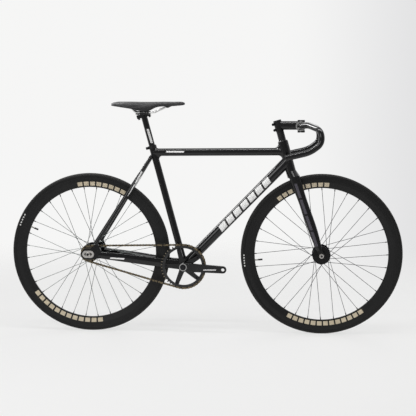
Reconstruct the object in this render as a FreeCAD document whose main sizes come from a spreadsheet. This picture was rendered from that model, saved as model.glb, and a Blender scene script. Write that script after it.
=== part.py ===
import FreeCAD, Part
import math
import os
from types import SimpleNamespace

import Sketcher
from FreeCAD import Placement, Rotation, Vector

# Fixed gear bike in mm: X forward, Y to the rider's left, Z up, tyres on Z = 0, drive side at -Y

LENGTHS = {
    # Cuts and fits
    "overrun": 2.0,
    "run_gap": 0.05,
    "slide_gap": 0.04,
    "thread_gap": 0.1,
    "face_gap": 0.5,
    # Wheels
    "wheelbase": 965.0,
    "tyre_outer_r": 334.0,
    "tyre_section_r": 11.5,
    "tyre_wall": 1.9,
    "bead_r": 312.2,
    "bead_wall": 1.8,
    "tube_wall": 0.9,
    "rim_outer_r": 317.0,
    "rim_inner_r": 275.5,
    "rim_half_width": 10.0,
    "rim_nose_half_width": 3.4,
    "rim_shoulder_r": 300.0,
    "rim_shoulder_half_width": 9.3,
    "rim_flange_wall": 1.4,
    "rim_bed_r": 311.5,
    "rim_well_r": 309.0,
    "rim_well_half_width": 4.5,
    "rim_wall": 1.8,
    "rim_spoke_wall": 5.0,
    "valve_r": 3.0,
    "valve_tip_r": 244.0,
    "valve_cap_length": 17.0,
    "valve_cap_r": 3.6,
    "spoke_r": 1.0,
    "spoke_head_r": 1.9,
    "spoke_head_height": 1.2,
    "spoke_thread": 6.0,
    "spoke_stagger": 1.5,
    "spoke_lift": 0.8,
    "nipple_r": 2.0,
    "nipple_length": 15.0,
    "nipple_seat_depth": 6.0,
    # Hubs
    "flange_r": 37.5,
    "flange_hole_r": 34.0,
    "flange_wall": 3.2,
    "hub_barrel_r": 15.0,
    "hub_end_r": 15.5,
    "hub_bearing_r": 12.5,
    "hub_bearing_width": 8.0,
    "hub_axle_bore_r": 8.0,
    "front_flange_y": 33.0,
    "front_hub_half": 44.0,
    "front_axle_r": 4.5,
    "front_axle_end": 70.5,
    "front_end_face": 50.0,
    "rear_flange_y": 31.0,
    "rear_hub_half": 51.0,
    "rear_axle_r": 5.0,
    "rear_axle_end": 83.0,
    "rear_end_face": 60.0,
    "axle_collar_r": 8.0,
    "axle_tip_step": 0.6,
    "axle_tip_taper": 0.8,
    "axle_tip_length": 4.5,
    "nut_flange_r": 9.5,
    "nut_flange_height": 2.0,
    "nut_hex_r": 8.4,
    "nut_height": 9.0,
    # Drive
    "chain_pitch": 12.7,
    "roller_r": 3.88,
    "roller_seat_gap": 0.12,
    "tooth_tip_rise": 3.4,
    "tooth_tip_half": 1.1,
    "tooth_half_wall": 1.4,
    "chain_inner_half": 1.65,
    "chain_plate_wall": 1.0,
    "chain_plate_gap": 0.15,
    "chain_plate_r": 4.15,
    "chain_waist_half": 3.0,
    "chain_pin_r": 1.8,
    "chain_pin_gap": 0.15,
    "chain_pin_proud": 0.5,
    "chain_line": 43.5,
    "cog_bore_r": 17.4,
    "cog_boss_r": 23.0,
    "cog_boss_half": 3.6,
    "lockring_r": 21.5,
    "lockring_bore_r": 16.4,
    "lockring_wall": 3.4,
    "bb_drop": 51.0,
    "crank_length": 165.0,
    "crank_boss_r": 19.0,
    "crank_boss_inner": 40.0,
    "crank_boss_outer": 66.0,
    "crank_arm_wall": 13.0,
    "crank_root_half": 18.5,
    "crank_tip_r": 15.0,
    "crank_edge_r": 2.5,
    "crank_recess_r": 12.5,
    "crank_recess_depth": 7.5,
    "crank_bevel": 2.0,
    "pedal_hole_r": 6.6,
    "spindle_r": 8.5,
    "spindle_square": 12.6,
    "crank_bolt_r": 4.0,
    "crank_bolt_length": 18.0,
    "crank_bolt_head_r": 10.5,
    "crank_bolt_flange": 2.5,
    "crank_bolt_hex_r": 7.0,
    "crank_bolt_hex": 4.0,
    "ring_bolt_circle_r": 72.0,
    "ring_band_inner_r": 77.0,
    "ring_tab_r": 9.0,
    "spider_wall": 6.0,
    "spider_root_half": 12.0,
    "spider_tip_half": 8.5,
    "ring_bolt_r": 5.0,
    "ring_bolt_head_r": 6.5,
    "ring_bolt_head": 1.2,
    "ring_bolt_socket_r": 2.6,
    # Bottom bracket
    "bb_shell_r": 21.0,
    "bb_thread_r": 17.4,
    "bb_shell_half": 34.0,
    "cup_depth": 11.0,
    "cup_flange_r": 19.5,
    "cup_flange": 3.0,
    # Frame tubes
    "head_tube_r": 21.0,
    "head_tube_length": 125.0,
    "head_tube_bore_r": 16.0,
    "top_tube_r": 15.9,
    "top_tube_wall": 1.3,
    "top_tube_seat_height": 489.0,
    "top_tube_head_height": 82.5,
    "down_tube_r": 22.2,
    "down_tube_low_r": 20.5,
    "down_tube_wall": 1.4,
    "down_tube_head_height": 44.5,
    "seat_tube_r": 14.3,
    "seat_tube_length": 518.0,
    "seat_stay_r": 7.3,
    "seat_stay_low_r": 9.2,
    "seat_stay_wall": 1.2,
    "seat_stay_height": 474.8,
    "seat_stay_set_back": 14.0,
    "seat_stay_top_y": 12.0,
    "seat_stay_low_y": 61.0,
    "seat_stay_low_x": 30.5,
    "seat_stay_low_z": 44.0,
    "chain_stay_wall": 1.6,
    "chain_stay_front_y": 23.0,
    "chain_stay_bend_y": 28.0,
    "chain_stay_mid_y": 43.0,
    "chain_stay_end_y": 63.0,
    "chain_stay_front_half": 18.5,
    "chain_stay_mid_half": 18.0,
    "chain_stay_end_half": 13.0,
    "chain_stay_front_rise": 1.0,
    "chain_stay_mid_rise": 2.5,
    "chain_stay_end_rise": 2.0,
    "chain_stay_front_half_width": 8.5,
    "chain_stay_mid_half_width": 7.5,
    "chain_stay_end_half_width": 6.0,
    "dropout_wall": 7.0,
    "dropout_rear": 30.0,
    "dropout_front": 54.0,
    "dropout_half": 22.0,
    "dropout_horn": 42.0,
    "slot_half_length": 16.0,
    "axle_slot_gap": 0.2,
    "face_plate_half_length": 24.5,
    "face_plate_half": 15.0,
    "face_plate_wall": 1.5,
    "collar_r": 17.6,
    "collar_height": 13.0,
    "collar_ear_length": 27.0,
    "collar_ear_half": 7.0,
    "collar_ear_height": 11.0,
    "collar_slit": 2.0,
    "collar_bolt_r": 2.5,
    "collar_bolt_head_r": 4.2,
    "collar_bolt_head": 4.5,
    "collar_bolt_place": 22.0,
    # Headset and fork
    "steerer_r": 12.65,
    "steerer_wall": 2.2,
    "bearing_r": 18.4,
    "bearing_width": 7.5,
    "race_r": 17.6,
    "race_height": 3.0,
    "fork_offset": 31.1,
    "crown_height": 367.0,
    "crown_depth": 25.0,
    "crown_forward": 8.0,
    "crown_half_depth": 24.8,
    "crown_set_back": 3.2,
    "crown_half_width": 37.8,
    "blade_top_y": 27.6,
    "blade_low_y": 53.0,
    "blade_top_half": 21.5,
    "blade_mid_half": 17.4,
    "blade_low_half": 11.0,
    "blade_top_half_width": 9.8,
    "blade_mid_half_width": 8.6,
    "blade_low_half_width": 5.6,
    "blade_wall": 1.8,
    "fork_end_wall": 6.0,
    "fork_end_r": 12.0,
    "fork_end_tang": 40.0,
    "fork_end_tang_half": 8.0,
    "cover_r": 20.4,
    "cover_height": 6.0,
    "cover_skirt": 1.6,
    "spacer_r": 15.3,
    "spacer_stack": 38.4,
    "stem_clamp_r": 17.0,
    "stem_clamp_height": 42.0,
    "stem_reach": 90.5,
    "stem_arm_rise": 3.0,
    "stem_arm_half_height": 18.0,
    "stem_arm_half_width": 15.8,
    "stem_bar_r": 20.6,
    "stem_bar_half": 21.0,
    "stem_ear_height": 25.5,
    "stem_ear_depth": 12.0,
    "stem_split": 1.6,
    "stem_rear_ear_r": 5.6,
    "stem_rear_ear_half": 13.0,
    "stem_rear_ear_place": 20.0,
    "stem_rear_ear_rise": 12.0,
    "stem_bolt_r": 2.5,
    "stem_bolt_head_r": 4.3,
    "stem_bolt_head": 4.2,
    "stem_bolt_socket_r": 2.1,
    "faceplate_bolt_y": 14.5,
    "faceplate_bolt_z": 21.0,
    "top_cap_r": 16.2,
    "top_cap_height": 4.0,
    "top_cap_bolt_r": 3.0,
    "top_cap_bolt_head_r": 5.4,
    "top_cap_bolt_length": 24.0,
    # Handlebar
    "bar_clamp_r": 15.9,
    "bar_clamp_half": 30.0,
    "bar_taper": 26.0,
    "bar_r": 11.9,
    "bar_wall": 2.0,
    "bar_half_width": 170.0,
    "bar_top_straight": 62.0,
    "bar_crest_forward": 29.0,
    "bar_crest_y": 92.0,
    "bar_crest_rise": 5.3,
    "bar_reach": 80.7,
    "bar_ramp_fall": 15.0,
    "bar_hook_fall": 66.3,
    "bar_sweep_forward": 36.5,
    "bar_sweep_fall": 100.5,
    "bar_end_fall": 122.5,
    "bar_end_back": 59.0,
    "bar_shoulder_bend_r": 34.0,
    "bar_crest_bend_r": 95.0,
    "bar_hook_bend_r": 36.0,
    "bar_low_bend_r": 40.0,
    "bar_sweep_bend_r": 119.0,
    "plug_depth": 14.0,
    "plug_head": 3.0,
    # Seatpost
    "post_r": 12.7,
    "post_wall": 2.4,
    "post_length": 267.5,
    "post_top_height": 653.5,
    "post_head_half_length": 29.0,
    "post_head_half_width": 11.0,
    "post_head_height": 15.0,
    "rail_height": 637.0,
    "rail_r": 3.5,
    "rail_half_gap": 22.0,
    "clamp_forward": 9.0,
    "clamp_half_length": 19.0,
    "clamp_half_width": 27.0,
    "clamp_low_height": 9.0,
    "clamp_top_height": 6.0,
    "clamp_split": 0.6,
    "clamp_bolt_r": 2.5,
    "clamp_bolt_head_r": 4.4,
    "clamp_bolt_head": 5.0,
    "clamp_bolt_place": 22.5,
    "clamp_tab": 30.0,
    "clamp_tab_half_width": 6.5,
    # Saddle
    "saddle_length": 302.0,
    "saddle_half_width": 68.0,
    "saddle_height": 44.5,
    "saddle_rear": 136.0,
    "saddle_pad": 5.5,
    "saddle_shell_wall": 2.0,
    "saddle_shell_gap": 0.15,
    "rail_straight_half": 37.0,
    "rail_rear_run": 24.0,
    "rail_front_run": 59.0,
    "rail_rear_half_gap": 25.0,
    "rail_front_half_gap": 6.5,
    "rail_rear_rise": 26.0,
    "rail_front_rise": 26.0,
    "rail_bend_r": 14.0,
    "rail_socket_r": 6.5,
    "rail_socket_depth": 9.0,
}

ANGLES = {
    "seat_angle": 75.0,
    "head_angle": 74.5,
    "crank_angle": -3.2,
    "spider_angle": 36.0,
    "valve_angle": 185.625,
    "rear_wheel_turn": -28.125,
    "tooth_flank_angle": -25.0,
}

COUNTS = {
    "spoke_count": 32,
    "spoke_crosses": 2,
    "ring_teeth": 45,
    "cog_teeth": 16,
    "chain_links": 94,
    "spider_arms": 5,
    "spacer_count": 4,
}

# Shares of the lengths that the outlines follow
CHAIN_STAY_SHARES = [0.02, 0.19, 0.54, 0.89]
BLADE_SHARES = [0.0, 0.22, 0.46, 0.70, 0.86, 0.93]
BLADE_CHORD_SHARES = [0.0, 0.72, 1.0, 1.0, 0.42, 0.0]
BLADE_SPREAD_SHARES = [0.0, 0.16, 0.42, 0.72, 0.94, 1.0]
SADDLE_PLACE_SHARES = [0.0, 0.035, 0.13, 0.28, 0.395, 0.49, 0.577, 0.731, 0.885, 0.971, 1.0]
SADDLE_WIDTH_SHARES = [0.56, 0.78, 0.98, 0.95, 0.73, 0.545, 0.42, 0.30, 0.25, 0.21, 0.13]
SADDLE_TOP_SHARES = [0.90, 0.97, 1.0, 0.992, 0.975, 0.968, 0.97, 0.985, 1.0, 0.978, 0.90]
SADDLE_EDGE_SHARES = [0.62, 0.58, 0.49, 0.33, 0.15, 0.15, 0.42, 0.55, 0.60, 0.65, 0.72]
ARCH_WIDTH_SHARES = [1.0, 0.985, 0.90, 0.62, 0.30, 0.0]
ARCH_HEIGHT_SHARES = [0.0, 0.42, 0.76, 0.95, 0.99, 1.0]
DROPOUT_NECK_SHARE = 0.7

RIGHT = -1
LEFT = 1
ALONG = Vector(1, 0, 0)
ACROSS = Vector(0, 1, 0)
UP = Vector(0, 0, 1)
ORIGIN = Vector(0, 0, 0)
WHEEL_TURN = Vector(0, -1, 0)
FULL_TURN = 360.0
HALF_TURN = 180.0
QUARTER_TURN = 90.0
CONFUSION = 1e-6

doc = FreeCAD.newDocument("fixed_gear_bike")
sheet = doc.addObject("Spreadsheet::Sheet", "Sizes")
NODES = []


class Size:
    """A value together with the sheet expression that gives it."""

    def __init__(self, value, text):
        self.value = float(value)
        self.text = text

    def __float__(self):
        return self.value

    def __add__(self, other):
        return Size(self.value + float(other), f"({self.text} + {text_of(other)})")

    def __sub__(self, other):
        return Size(self.value - float(other), f"({self.text} - {text_of(other)})")

    def __mul__(self, other):
        return Size(self.value * float(other), f"({self.text} * {text_of(other)})")

    def __truediv__(self, other):
        return Size(self.value / float(other), f"({self.text} / {text_of(other)})")

    def __neg__(self):
        return Size(-self.value, f"(0 - {self.text})")


def text_of(number):
    return number.text if isinstance(number, Size) else repr(float(number))


def root(size):
    return Size(math.sqrt(size.value), f"sqrt({size.text})")


def span(start, end):
    """The distance between two worked out places."""
    return Size((end - start).Length, repr((end - start).Length))


def fill_sheet():
    """Put every driving number in the sheet and hand back the named sizes."""
    named = {}
    row = 1
    for group in (LENGTHS, ANGLES, COUNTS):
        for name, value in group.items():
            sheet.set(f"A{row}", name)
            sheet.set(f"B{row}", repr(float(value)))
            sheet.setAlias(f"B{row}", name)
            named[name] = Size(value, f"Sizes.{name}")
            row += 1
    doc.recompute()
    return SimpleNamespace(**named)


S = fill_sheet()
ZERO = Size(0, "0")
ONE = Size(1, "1")


# Helpers for parametric objects

def bind(obj, **sizes):
    for name, size in sizes.items():
        setattr(obj, name, float(size))
        obj.setExpression(name, size.text)
    return obj


def placed(obj, base, axis=UP):
    obj.Placement = Placement(base, Rotation(UP, axis))
    return obj


def cylinder(name, radius, height, base, axis=UP):
    return placed(bind(doc.addObject("Part::Cylinder", name), Radius=radius, Height=height), base, axis)


def cone(name, low_r, high_r, height, base, axis=UP):
    made = doc.addObject("Part::Cone", name)
    return placed(bind(made, Radius1=low_r, Radius2=high_r, Height=height), base, axis)


def sphere(name, radius, centre):
    return placed(bind(doc.addObject("Part::Sphere", name), Radius=radius), centre)


def hexagon(name, circumradius, height, base, axis):
    made = doc.addObject("Part::Prism", name)
    made.Polygon = 6
    return placed(bind(made, Circumradius=circumradius, Height=height), base, axis)


def box(name, length, width, height, centre, rotation=Rotation()):
    made = bind(doc.addObject("Part::Box", name), Length=length, Width=width, Height=height)
    half = Vector(length / 2, width / 2, height / 2)
    made.Placement = Placement(centre - rotation.multVec(half), rotation)
    return made


def feature(name, shape):
    made = doc.addObject("Part::Feature", name)
    made.Shape = shape
    return made


def fuse(name, *parts):
    made = doc.addObject("Part::MultiFuse", name)
    made.Shapes = list(parts)
    made.Refine = True
    return made


def cut(name, base, *tools):
    made = doc.addObject("Part::Cut", name)
    made.Base = base
    made.Tool = tools[0] if len(tools) == 1 else fuse(f"{name}_tools", *tools)
    return made


def tube(name, outer_r, inner_r, length, base, axis):
    start = base - axis * float(S.overrun)
    outer = cylinder(f"{name}_outer", outer_r, length, base, axis)
    inner = cylinder(f"{name}_bore", inner_r, length + S.overrun * 2, start, axis)
    return cut(name, outer, inner)


def mirrored_pair(name, one):
    """Two separate solids, one on each side of the bike's middle plane."""
    other = doc.addObject("Part::Mirroring", f"{name}_other_side")
    other.Source = one
    other.Normal = ACROSS
    both = doc.addObject("Part::Compound", name)
    both.Links = [one, other]
    return both


def node(obj, name):
    obj.Label = name
    NODES.append(obj)
    return obj


# Helpers for sketches

def pin_down(sketch, geometry, corner, x, y):
    """Fix one corner of a sketch at sizes taken from the sheet."""
    for kind, size, axis in (("DistanceX", x, -2), ("DistanceY", y, -1)):
        if float(size) == 0:
            sketch.addConstraint(Sketcher.Constraint("PointOnObject", geometry, corner, axis))
            continue
        index = sketch.addConstraint(Sketcher.Constraint(kind, -1, 1, geometry, corner, float(size)))
        sketch.setExpression(f"Constraints[{index}]", size.text)


def arc_between(start, end, radius, side):
    """The short arc from start to end, its centre on the left for side 1 and the right for side -1."""
    chord = end - start
    middle = (start + end) / 2
    rise = math.sqrt(max(radius ** 2 - (chord.Length / 2) ** 2, 0))
    left = Vector(-chord.y, chord.x, 0).normalize()
    centre = middle + left * (side * rise)
    first, last = (start, end) if side > 0 else (end, start)
    angles = [math.atan2(p.y - centre.y, p.x - centre.x) for p in (first, last)]
    return Part.ArcOfCircle(Part.Circle(centre, UP, radius), *angles)


def add_loop(sketch, corners):
    """A closed outline. A corner is (x, y), or (x, y, radius, side) where an arc leads to the next."""
    ends = []
    points = [Vector(c[0], c[1], 0) for c in corners]
    for i, corner in enumerate(corners):
        start = points[i]
        end = points[(i + 1) % len(points)]
        if len(corner) == 2:
            index = sketch.addGeometry(Part.LineSegment(start, end))
            ends.append((index, 1, 2))
            continue
        radius, side = corner[2], corner[3]
        index = sketch.addGeometry(arc_between(start, end, float(radius), side))
        ends.append((index, 1, 2) if side > 0 else (index, 2, 1))
    for i, (index, _, last) in enumerate(ends):
        after, first, _ = ends[(i + 1) % len(ends)]
        sketch.addConstraint(Sketcher.Constraint("Coincident", index, last, after, first))
    for corner, (index, first, _) in zip(corners, ends):
        pin_down(sketch, index, first, corner[0], corner[1])
    for corner, (index, _, _) in zip(corners, ends):
        if len(corner) > 2:
            at = sketch.addConstraint(Sketcher.Constraint("Radius", index, float(corner[2])))
            sketch.setExpression(f"Constraints[{at}]", corner[2].text)


def outline(body, name, role, loops):
    sketch = body.newObject("Sketcher::SketchObject", name)
    plane = next(f for f in body.Origin.OriginFeatures if f.Role == role)
    sketch.AttachmentSupport = [(plane, "")]
    sketch.MapMode = "FlatFace"
    for loop in loops:
        add_loop(sketch, loop)
    return sketch


def turned(name, *loops):
    """A body turned about the Y axis from outlines of (radius, y) corners."""
    body = doc.addObject("PartDesign::Body", name)
    sketch = outline(body, f"{name}_section", "XY_Plane", loops)
    turn = body.newObject("PartDesign::Revolution", f"{name}_turn")
    turn.Profile = sketch
    turn.ReferenceAxis = (sketch, ["V_Axis"])
    turn.Angle = FULL_TURN
    return body


def plate(name, wall, *loops):
    """A body of one thickness across the bike from outlines of (x, z) corners."""
    body = doc.addObject("PartDesign::Body", name)
    sketch = outline(body, f"{name}_outline", "XZ_Plane", loops)
    pad = body.newObject("PartDesign::Pad", f"{name}_pad")
    pad.Profile = sketch
    pad.SideType = "Symmetric"
    bind(pad, Length=wall)
    return body


def flat_sides(shape):
    """Names of the two flat faces that look across the bike."""
    limits = (shape.BoundBox.YMin, shape.BoundBox.YMax)
    return [f"Face{i}" for i, face in enumerate(shape.Faces, 1)
            if face.BoundBox.YMax - face.BoundBox.YMin < CONFUSION and
            min(abs(face.CenterOfMass.y - y) for y in limits) < CONFUSION]


def mirrored(corners):
    """Corners of one half with y above zero, closed by the same corners below zero."""
    return corners + [(x, -y) for x, y in reversed(corners)]


def oval_outline(half_length, half_height):
    straight = half_length - half_height
    return [
        (-straight, -half_height),
        (straight, -half_height, half_height, 1),
        (half_length, ZERO, half_height, 1),
        (straight, half_height),
        (-straight, half_height, half_height, 1),
        (-half_length, ZERO, half_height, 1),
    ]


# Helpers for shapes made in code

def direction(angle):
    turn = math.radians(float(angle))
    return Vector(math.cos(turn), 0, math.sin(turn))


def circle_wire(centre, axis, radius):
    return Part.Wire([Part.makeCircle(float(radius), centre, axis)])


def bent_path(points, radii):
    """A wire of straight runs with a round bend at each inner point."""
    edges = []
    start = points[0]
    for i, radius in enumerate(radii, 1):
        back = (points[i - 1] - points[i]).normalize()
        ahead = (points[i + 1] - points[i]).normalize()
        half = back.getAngle(ahead) / 2
        reach = float(radius) / math.tan(half)
        centre = points[i] + (back + ahead).normalize() * (float(radius) / math.sin(half))
        middle = centre + (points[i] - centre).normalize() * float(radius)
        first = points[i] + back * reach
        last = points[i] + ahead * reach
        edges.append(Part.makeLine(start, first))
        edges.append(Part.Arc(first, middle, last).toShape())
        start = last
    edges.append(Part.makeLine(start, points[-1]))
    return Part.Wire(edges)


def swept(path, radius):
    start = path.Edges[0]
    profile = circle_wire(start.valueAt(start.FirstParameter), start.tangentAt(start.FirstParameter), radius)
    return path.makePipeShell([profile], True, True)


def oval_wire(centre, axis, height_axis, half_height, half_width):
    """An ellipse square to axis, with its height along height_axis."""
    wide = float(half_width) > float(half_height)
    major = axis.cross(height_axis).normalize() if wide else height_axis
    minor = axis.cross(major).normalize()
    large, small = sorted((float(half_height), float(half_width)), reverse=True)
    curve = Part.Ellipse(centre + major * large, centre + minor * small, centre)
    return Part.Wire([curve.toShape()])


def oval_loft(stations, inset):
    """A loft through (centre, axis, height axis, half height, half width) stations."""
    wires = [oval_wire(c, a, h, float(hh) - inset, float(hw) - inset) for c, a, h, hh, hw in stations]
    return Part.makeLoft(wires, True, False)


def between(low, high, share):
    return float(low) + (float(high) - float(low)) * share


# Driving places of the frame

def sprocket_pitch_r(teeth):
    return float(S.chain_pitch) / (2 * math.sin(math.pi / float(teeth)))


RING_R = sprocket_pitch_r(S.ring_teeth)
COG_R = sprocket_pitch_r(S.cog_teeth)


def chain_length(distance):
    """Length of the closed chain round ring and cog at a centre distance, and its tangent angle."""
    lean = math.asin((RING_R - COG_R) / distance)
    ring_wrap = float(S.ring_teeth) * (math.pi + 2 * lean) / (2 * math.pi)
    cog_wrap = float(S.cog_teeth) * (math.pi - 2 * lean) / (2 * math.pi)
    wraps = float(S.chain_pitch) * (ring_wrap + cog_wrap)
    return 2 * distance * math.cos(lean) + wraps, lean


def chain_centre_distance():
    """Centre distance at which the chain's whole links just close."""
    wanted = float(S.chain_links) * float(S.chain_pitch)
    low = RING_R + COG_R
    high = wanted
    for _ in range(80):
        middle = (low + high) / 2
        if chain_length(middle)[0] < wanted:
            low = middle
        else:
            high = middle
    return (low + high) / 2


CENTRES = chain_centre_distance()
LEAN = chain_length(CENTRES)[1]
REAR_AXLE = Vector(-S.wheelbase / 2, 0, S.tyre_outer_r)
FRONT_AXLE = Vector(S.wheelbase / 2, 0, S.tyre_outer_r)
DROP = float(S.bb_drop)
BB = REAR_AXLE + Vector(math.sqrt(CENTRES ** 2 - DROP ** 2), 0, -DROP)
SEAT_AXIS = direction(HALF_TURN - float(S.seat_angle))
STEER_AXIS = direction(HALF_TURN - float(S.head_angle))
STEER_FORWARD = direction(QUARTER_TURN - float(S.head_angle))
HEAD_LOW = FRONT_AXLE - STEER_FORWARD * float(S.fork_offset) + STEER_AXIS * float(S.crown_height)
STEER_TURN = Rotation(UP, STEER_AXIS)
SEAT_TURN = Rotation(UP, SEAT_AXIS)


def on_steerer(height):
    return HEAD_LOW + STEER_AXIS * float(height)


def on_seat_tube(height):
    return BB + SEAT_AXIS * float(height)


# Wheels, made round the origin with the axle along Y

def make_rim(name, flange_y):
    bed_y = S.rim_half_width - S.rim_flange_wall
    section = mirrored([
        (S.rim_inner_r, S.rim_nose_half_width),
        (S.rim_shoulder_r, S.rim_shoulder_half_width),
        (S.rim_bed_r - S.rim_flange_wall, S.rim_half_width),
        (S.rim_outer_r, S.rim_half_width),
        (S.rim_outer_r, bed_y),
        (S.rim_bed_r, bed_y),
        (S.rim_well_r, S.rim_well_half_width),
    ])
    hollow_r = S.rim_inner_r + S.rim_spoke_wall
    hollow_top = S.rim_well_r - S.rim_wall
    hollow = mirrored([
        (hollow_r, S.rim_nose_half_width - S.rim_wall / 2),
        (S.rim_shoulder_r, S.rim_shoulder_half_width - S.rim_wall),
        (hollow_top, S.rim_shoulder_half_width - S.rim_wall),
    ])
    blank = turned(f"{name}_blank", section, hollow)
    drills = [drill for drill, _ in nipple_places(S.nipple_r + S.thread_gap, flange_y)]
    valve = Part.makeCylinder(float(S.valve_r + S.thread_gap), float(S.rim_outer_r), ORIGIN, valve_way())
    return cut(name, blank, feature(f"{name}_holes", Part.makeCompound(drills + [valve])))


def valve_way():
    return direction(S.valve_angle)


def spoke_places():
    """Rim angle, flange side and lean of each spoke, four to a group."""
    step = FULL_TURN / float(S.spoke_count)
    kinds = [(1, RIGHT, 1), (2, LEFT, 1), (3, RIGHT, -1), (4, LEFT, -1)]
    for group in range(int(float(S.spoke_count)) // len(kinds)):
        for place, side, lean in kinds:
            yield step * (len(kinds) * group + place), side, lean


def spoke_ends(angle, side, lean, flange_y):
    """Where a spoke leaves its flange and where it meets the rim."""
    cross = 2 * FULL_TURN / float(S.spoke_count) * float(S.spoke_crosses)
    out = side * lean * float(S.flange_wall / 2 + S.spoke_r + S.spoke_lift)
    hub_y = side * float(flange_y) + out
    low = direction(angle + lean * cross) * float(S.flange_hole_r) + ACROSS * hub_y
    high = direction(angle) * float(S.rim_inner_r) + ACROSS * (side * float(S.spoke_stagger))
    return low, high


def nipple_places(radius, flange_y):
    """A cylinder along each spoke where its nipple crosses the rim, and the spoke's way."""
    for angle, side, lean in spoke_places():
        low, high = spoke_ends(angle, side, lean, flange_y)
        way = (high - low).normalize()
        inside = float(S.nipple_seat_depth)
        base = high + way * (inside - float(S.nipple_length))
        yield Part.makeCylinder(float(radius), float(S.nipple_length), base, way), way


def make_spokes(name, flange_y):
    solids = []
    for angle, side, lean in spoke_places():
        low, high = spoke_ends(angle, side, lean, flange_y)
        way = (high - low).normalize()
        end = high + way * float(S.nipple_seat_depth - S.spoke_thread)
        shank = Part.makeCylinder(float(S.spoke_r), (end - low).Length, low, way)
        inward = ACROSS * (side * float(flange_y) - low.y)
        through = inward.Length + float(S.flange_wall) / 2
        inward.normalize()
        elbow = Part.makeCylinder(float(S.spoke_r), through, low, inward)
        knee = Part.makeSphere(float(S.spoke_r), low)
        head_base = low + inward * through
        head = Part.makeCylinder(float(S.spoke_head_r), float(S.spoke_head_height), head_base, inward)
        solids.append(shank.fuse([elbow, knee, head]).removeSplitter())
    return feature(name, Part.makeCompound(solids))


def make_nipples(name, flange_y):
    solids = []
    blanks = nipple_places(S.nipple_r, flange_y)
    for (angle, side, lean), (blank, way) in zip(spoke_places(), blanks):
        low, high = spoke_ends(angle, side, lean, flange_y)
        end = high + way * float(S.nipple_seat_depth - S.spoke_thread)
        solids.append(blank.cut(Part.makeCylinder(float(S.spoke_r), (end - low).Length, low, way)))
    return feature(name, Part.makeCompound(solids))


def make_tyre(name):
    middle = S.tyre_outer_r - S.tyre_section_r
    lip = S.rim_outer_r + S.thread_gap * 3
    side = root(S.tyre_section_r * S.tyre_section_r - (middle - lip) * (middle - lip))
    inner_r = S.tyre_section_r - S.tyre_wall
    inner_side = root(inner_r * inner_r - (middle - lip) * (middle - lip))
    bead = S.rim_half_width - S.rim_flange_wall - S.thread_gap * 2
    inner_bead = bead - S.bead_wall
    return turned(name, [
        (lip, side, S.tyre_section_r, -1),
        (S.tyre_outer_r, ZERO, S.tyre_section_r, -1),
        (lip, -side),
        (lip, -bead),
        (S.bead_r, -bead),
        (S.bead_r, -inner_bead),
        (lip, -inner_side, inner_r, 1),
        (middle + inner_r, ZERO, inner_r, 1),
        (lip, inner_side),
        (S.bead_r, inner_bead),
        (S.bead_r, bead),
        (lip, bead),
    ])


def make_inner_tube(name):
    """An inflated tube inside the tyre, with the valve that comes out through the rim."""
    middle = float(S.tyre_outer_r - S.tyre_section_r)
    outer_r = float(S.tyre_section_r - S.tyre_wall - S.thread_gap * 2)
    ring = Part.makeTorus(middle, outer_r, ORIGIN, ACROSS)
    ring = ring.cut(Part.makeTorus(middle, outer_r - float(S.tube_wall), ORIGIN, ACROSS))
    way = valve_way()
    root_r = middle - outer_r + float(S.tube_wall) / 2
    cap_r = float(S.valve_tip_r + S.valve_cap_length)
    stem = Part.makeCylinder(float(S.valve_r), root_r - cap_r, way * cap_r, way)
    cap = Part.makeCylinder(float(S.valve_cap_r), float(S.valve_cap_length), way * float(S.valve_tip_r), way)
    return feature(name, ring.fuse([stem, cap]))


def hub_section(flange_y, half, end_steps):
    """One half of a hub shell from the bearing seat out to the end and back in along the flange."""
    near = flange_y - S.flange_wall / 2
    far = flange_y + S.flange_wall / 2
    seat = half - S.hub_bearing_width
    inside = [(S.hub_axle_bore_r, seat), (S.hub_bearing_r, seat), (S.hub_bearing_r, half)]
    return inside + end_steps + [
        (end_steps[-1][0], far),
        (S.flange_r, far),
        (S.flange_r, near),
        (S.hub_barrel_r, near),
    ]


def make_hub(name, flange_y, half, left_steps, right_steps):
    """A high flange shell with a bearing seat in each end and a hole for each spoke."""
    left = hub_section(flange_y, half, left_steps)
    right = [(r, -y) for r, y in hub_section(flange_y, half, right_steps)]
    blank = turned(f"{name}_blank", left + right[::-1])
    near = flange_y - S.flange_wall / 2
    drills = []
    for angle, side, lean in spoke_places():
        low, _ = spoke_ends(angle, side, lean, flange_y)
        start = Vector(low.x, side * float(near - S.overrun), low.z)
        deep = float(S.flange_wall + S.overrun * 2)
        drills.append(Part.makeCylinder(float(S.spoke_r + S.thread_gap), deep, start, ACROSS * side))
    return cut(name, blank, feature(f"{name}_holes", Part.makeCompound(drills)))


def make_hub_bearings(name, half, axle_r):
    one = tube(f"{name}_one", S.hub_bearing_r, axle_r + S.run_gap, S.hub_bearing_width,
               ACROSS * float(half - S.hub_bearing_width), ACROSS)
    return mirrored_pair(name, one)


def make_axle(name, axle_r, half, end_face, end):
    """An axle with a collar between each bearing and frame end, and a plain turned tip at each end."""
    inner = half + S.face_gap
    tip_r = axle_r - S.axle_tip_step
    tip = end - S.axle_tip_length
    full = tip - S.axle_tip_taper
    return turned(name, [
        (ZERO, end),
        (tip_r, end),
        (tip_r, tip),
        (axle_r, full),
        (axle_r, end_face),
        (S.axle_collar_r, end_face),
        (S.axle_collar_r, inner),
        (axle_r, inner),
        (axle_r, -inner),
        (S.axle_collar_r, -inner),
        (S.axle_collar_r, -end_face),
        (axle_r, -end_face),
        (axle_r, -full),
        (tip_r, -tip),
        (tip_r, -end),
        (ZERO, -end),
    ])


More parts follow.
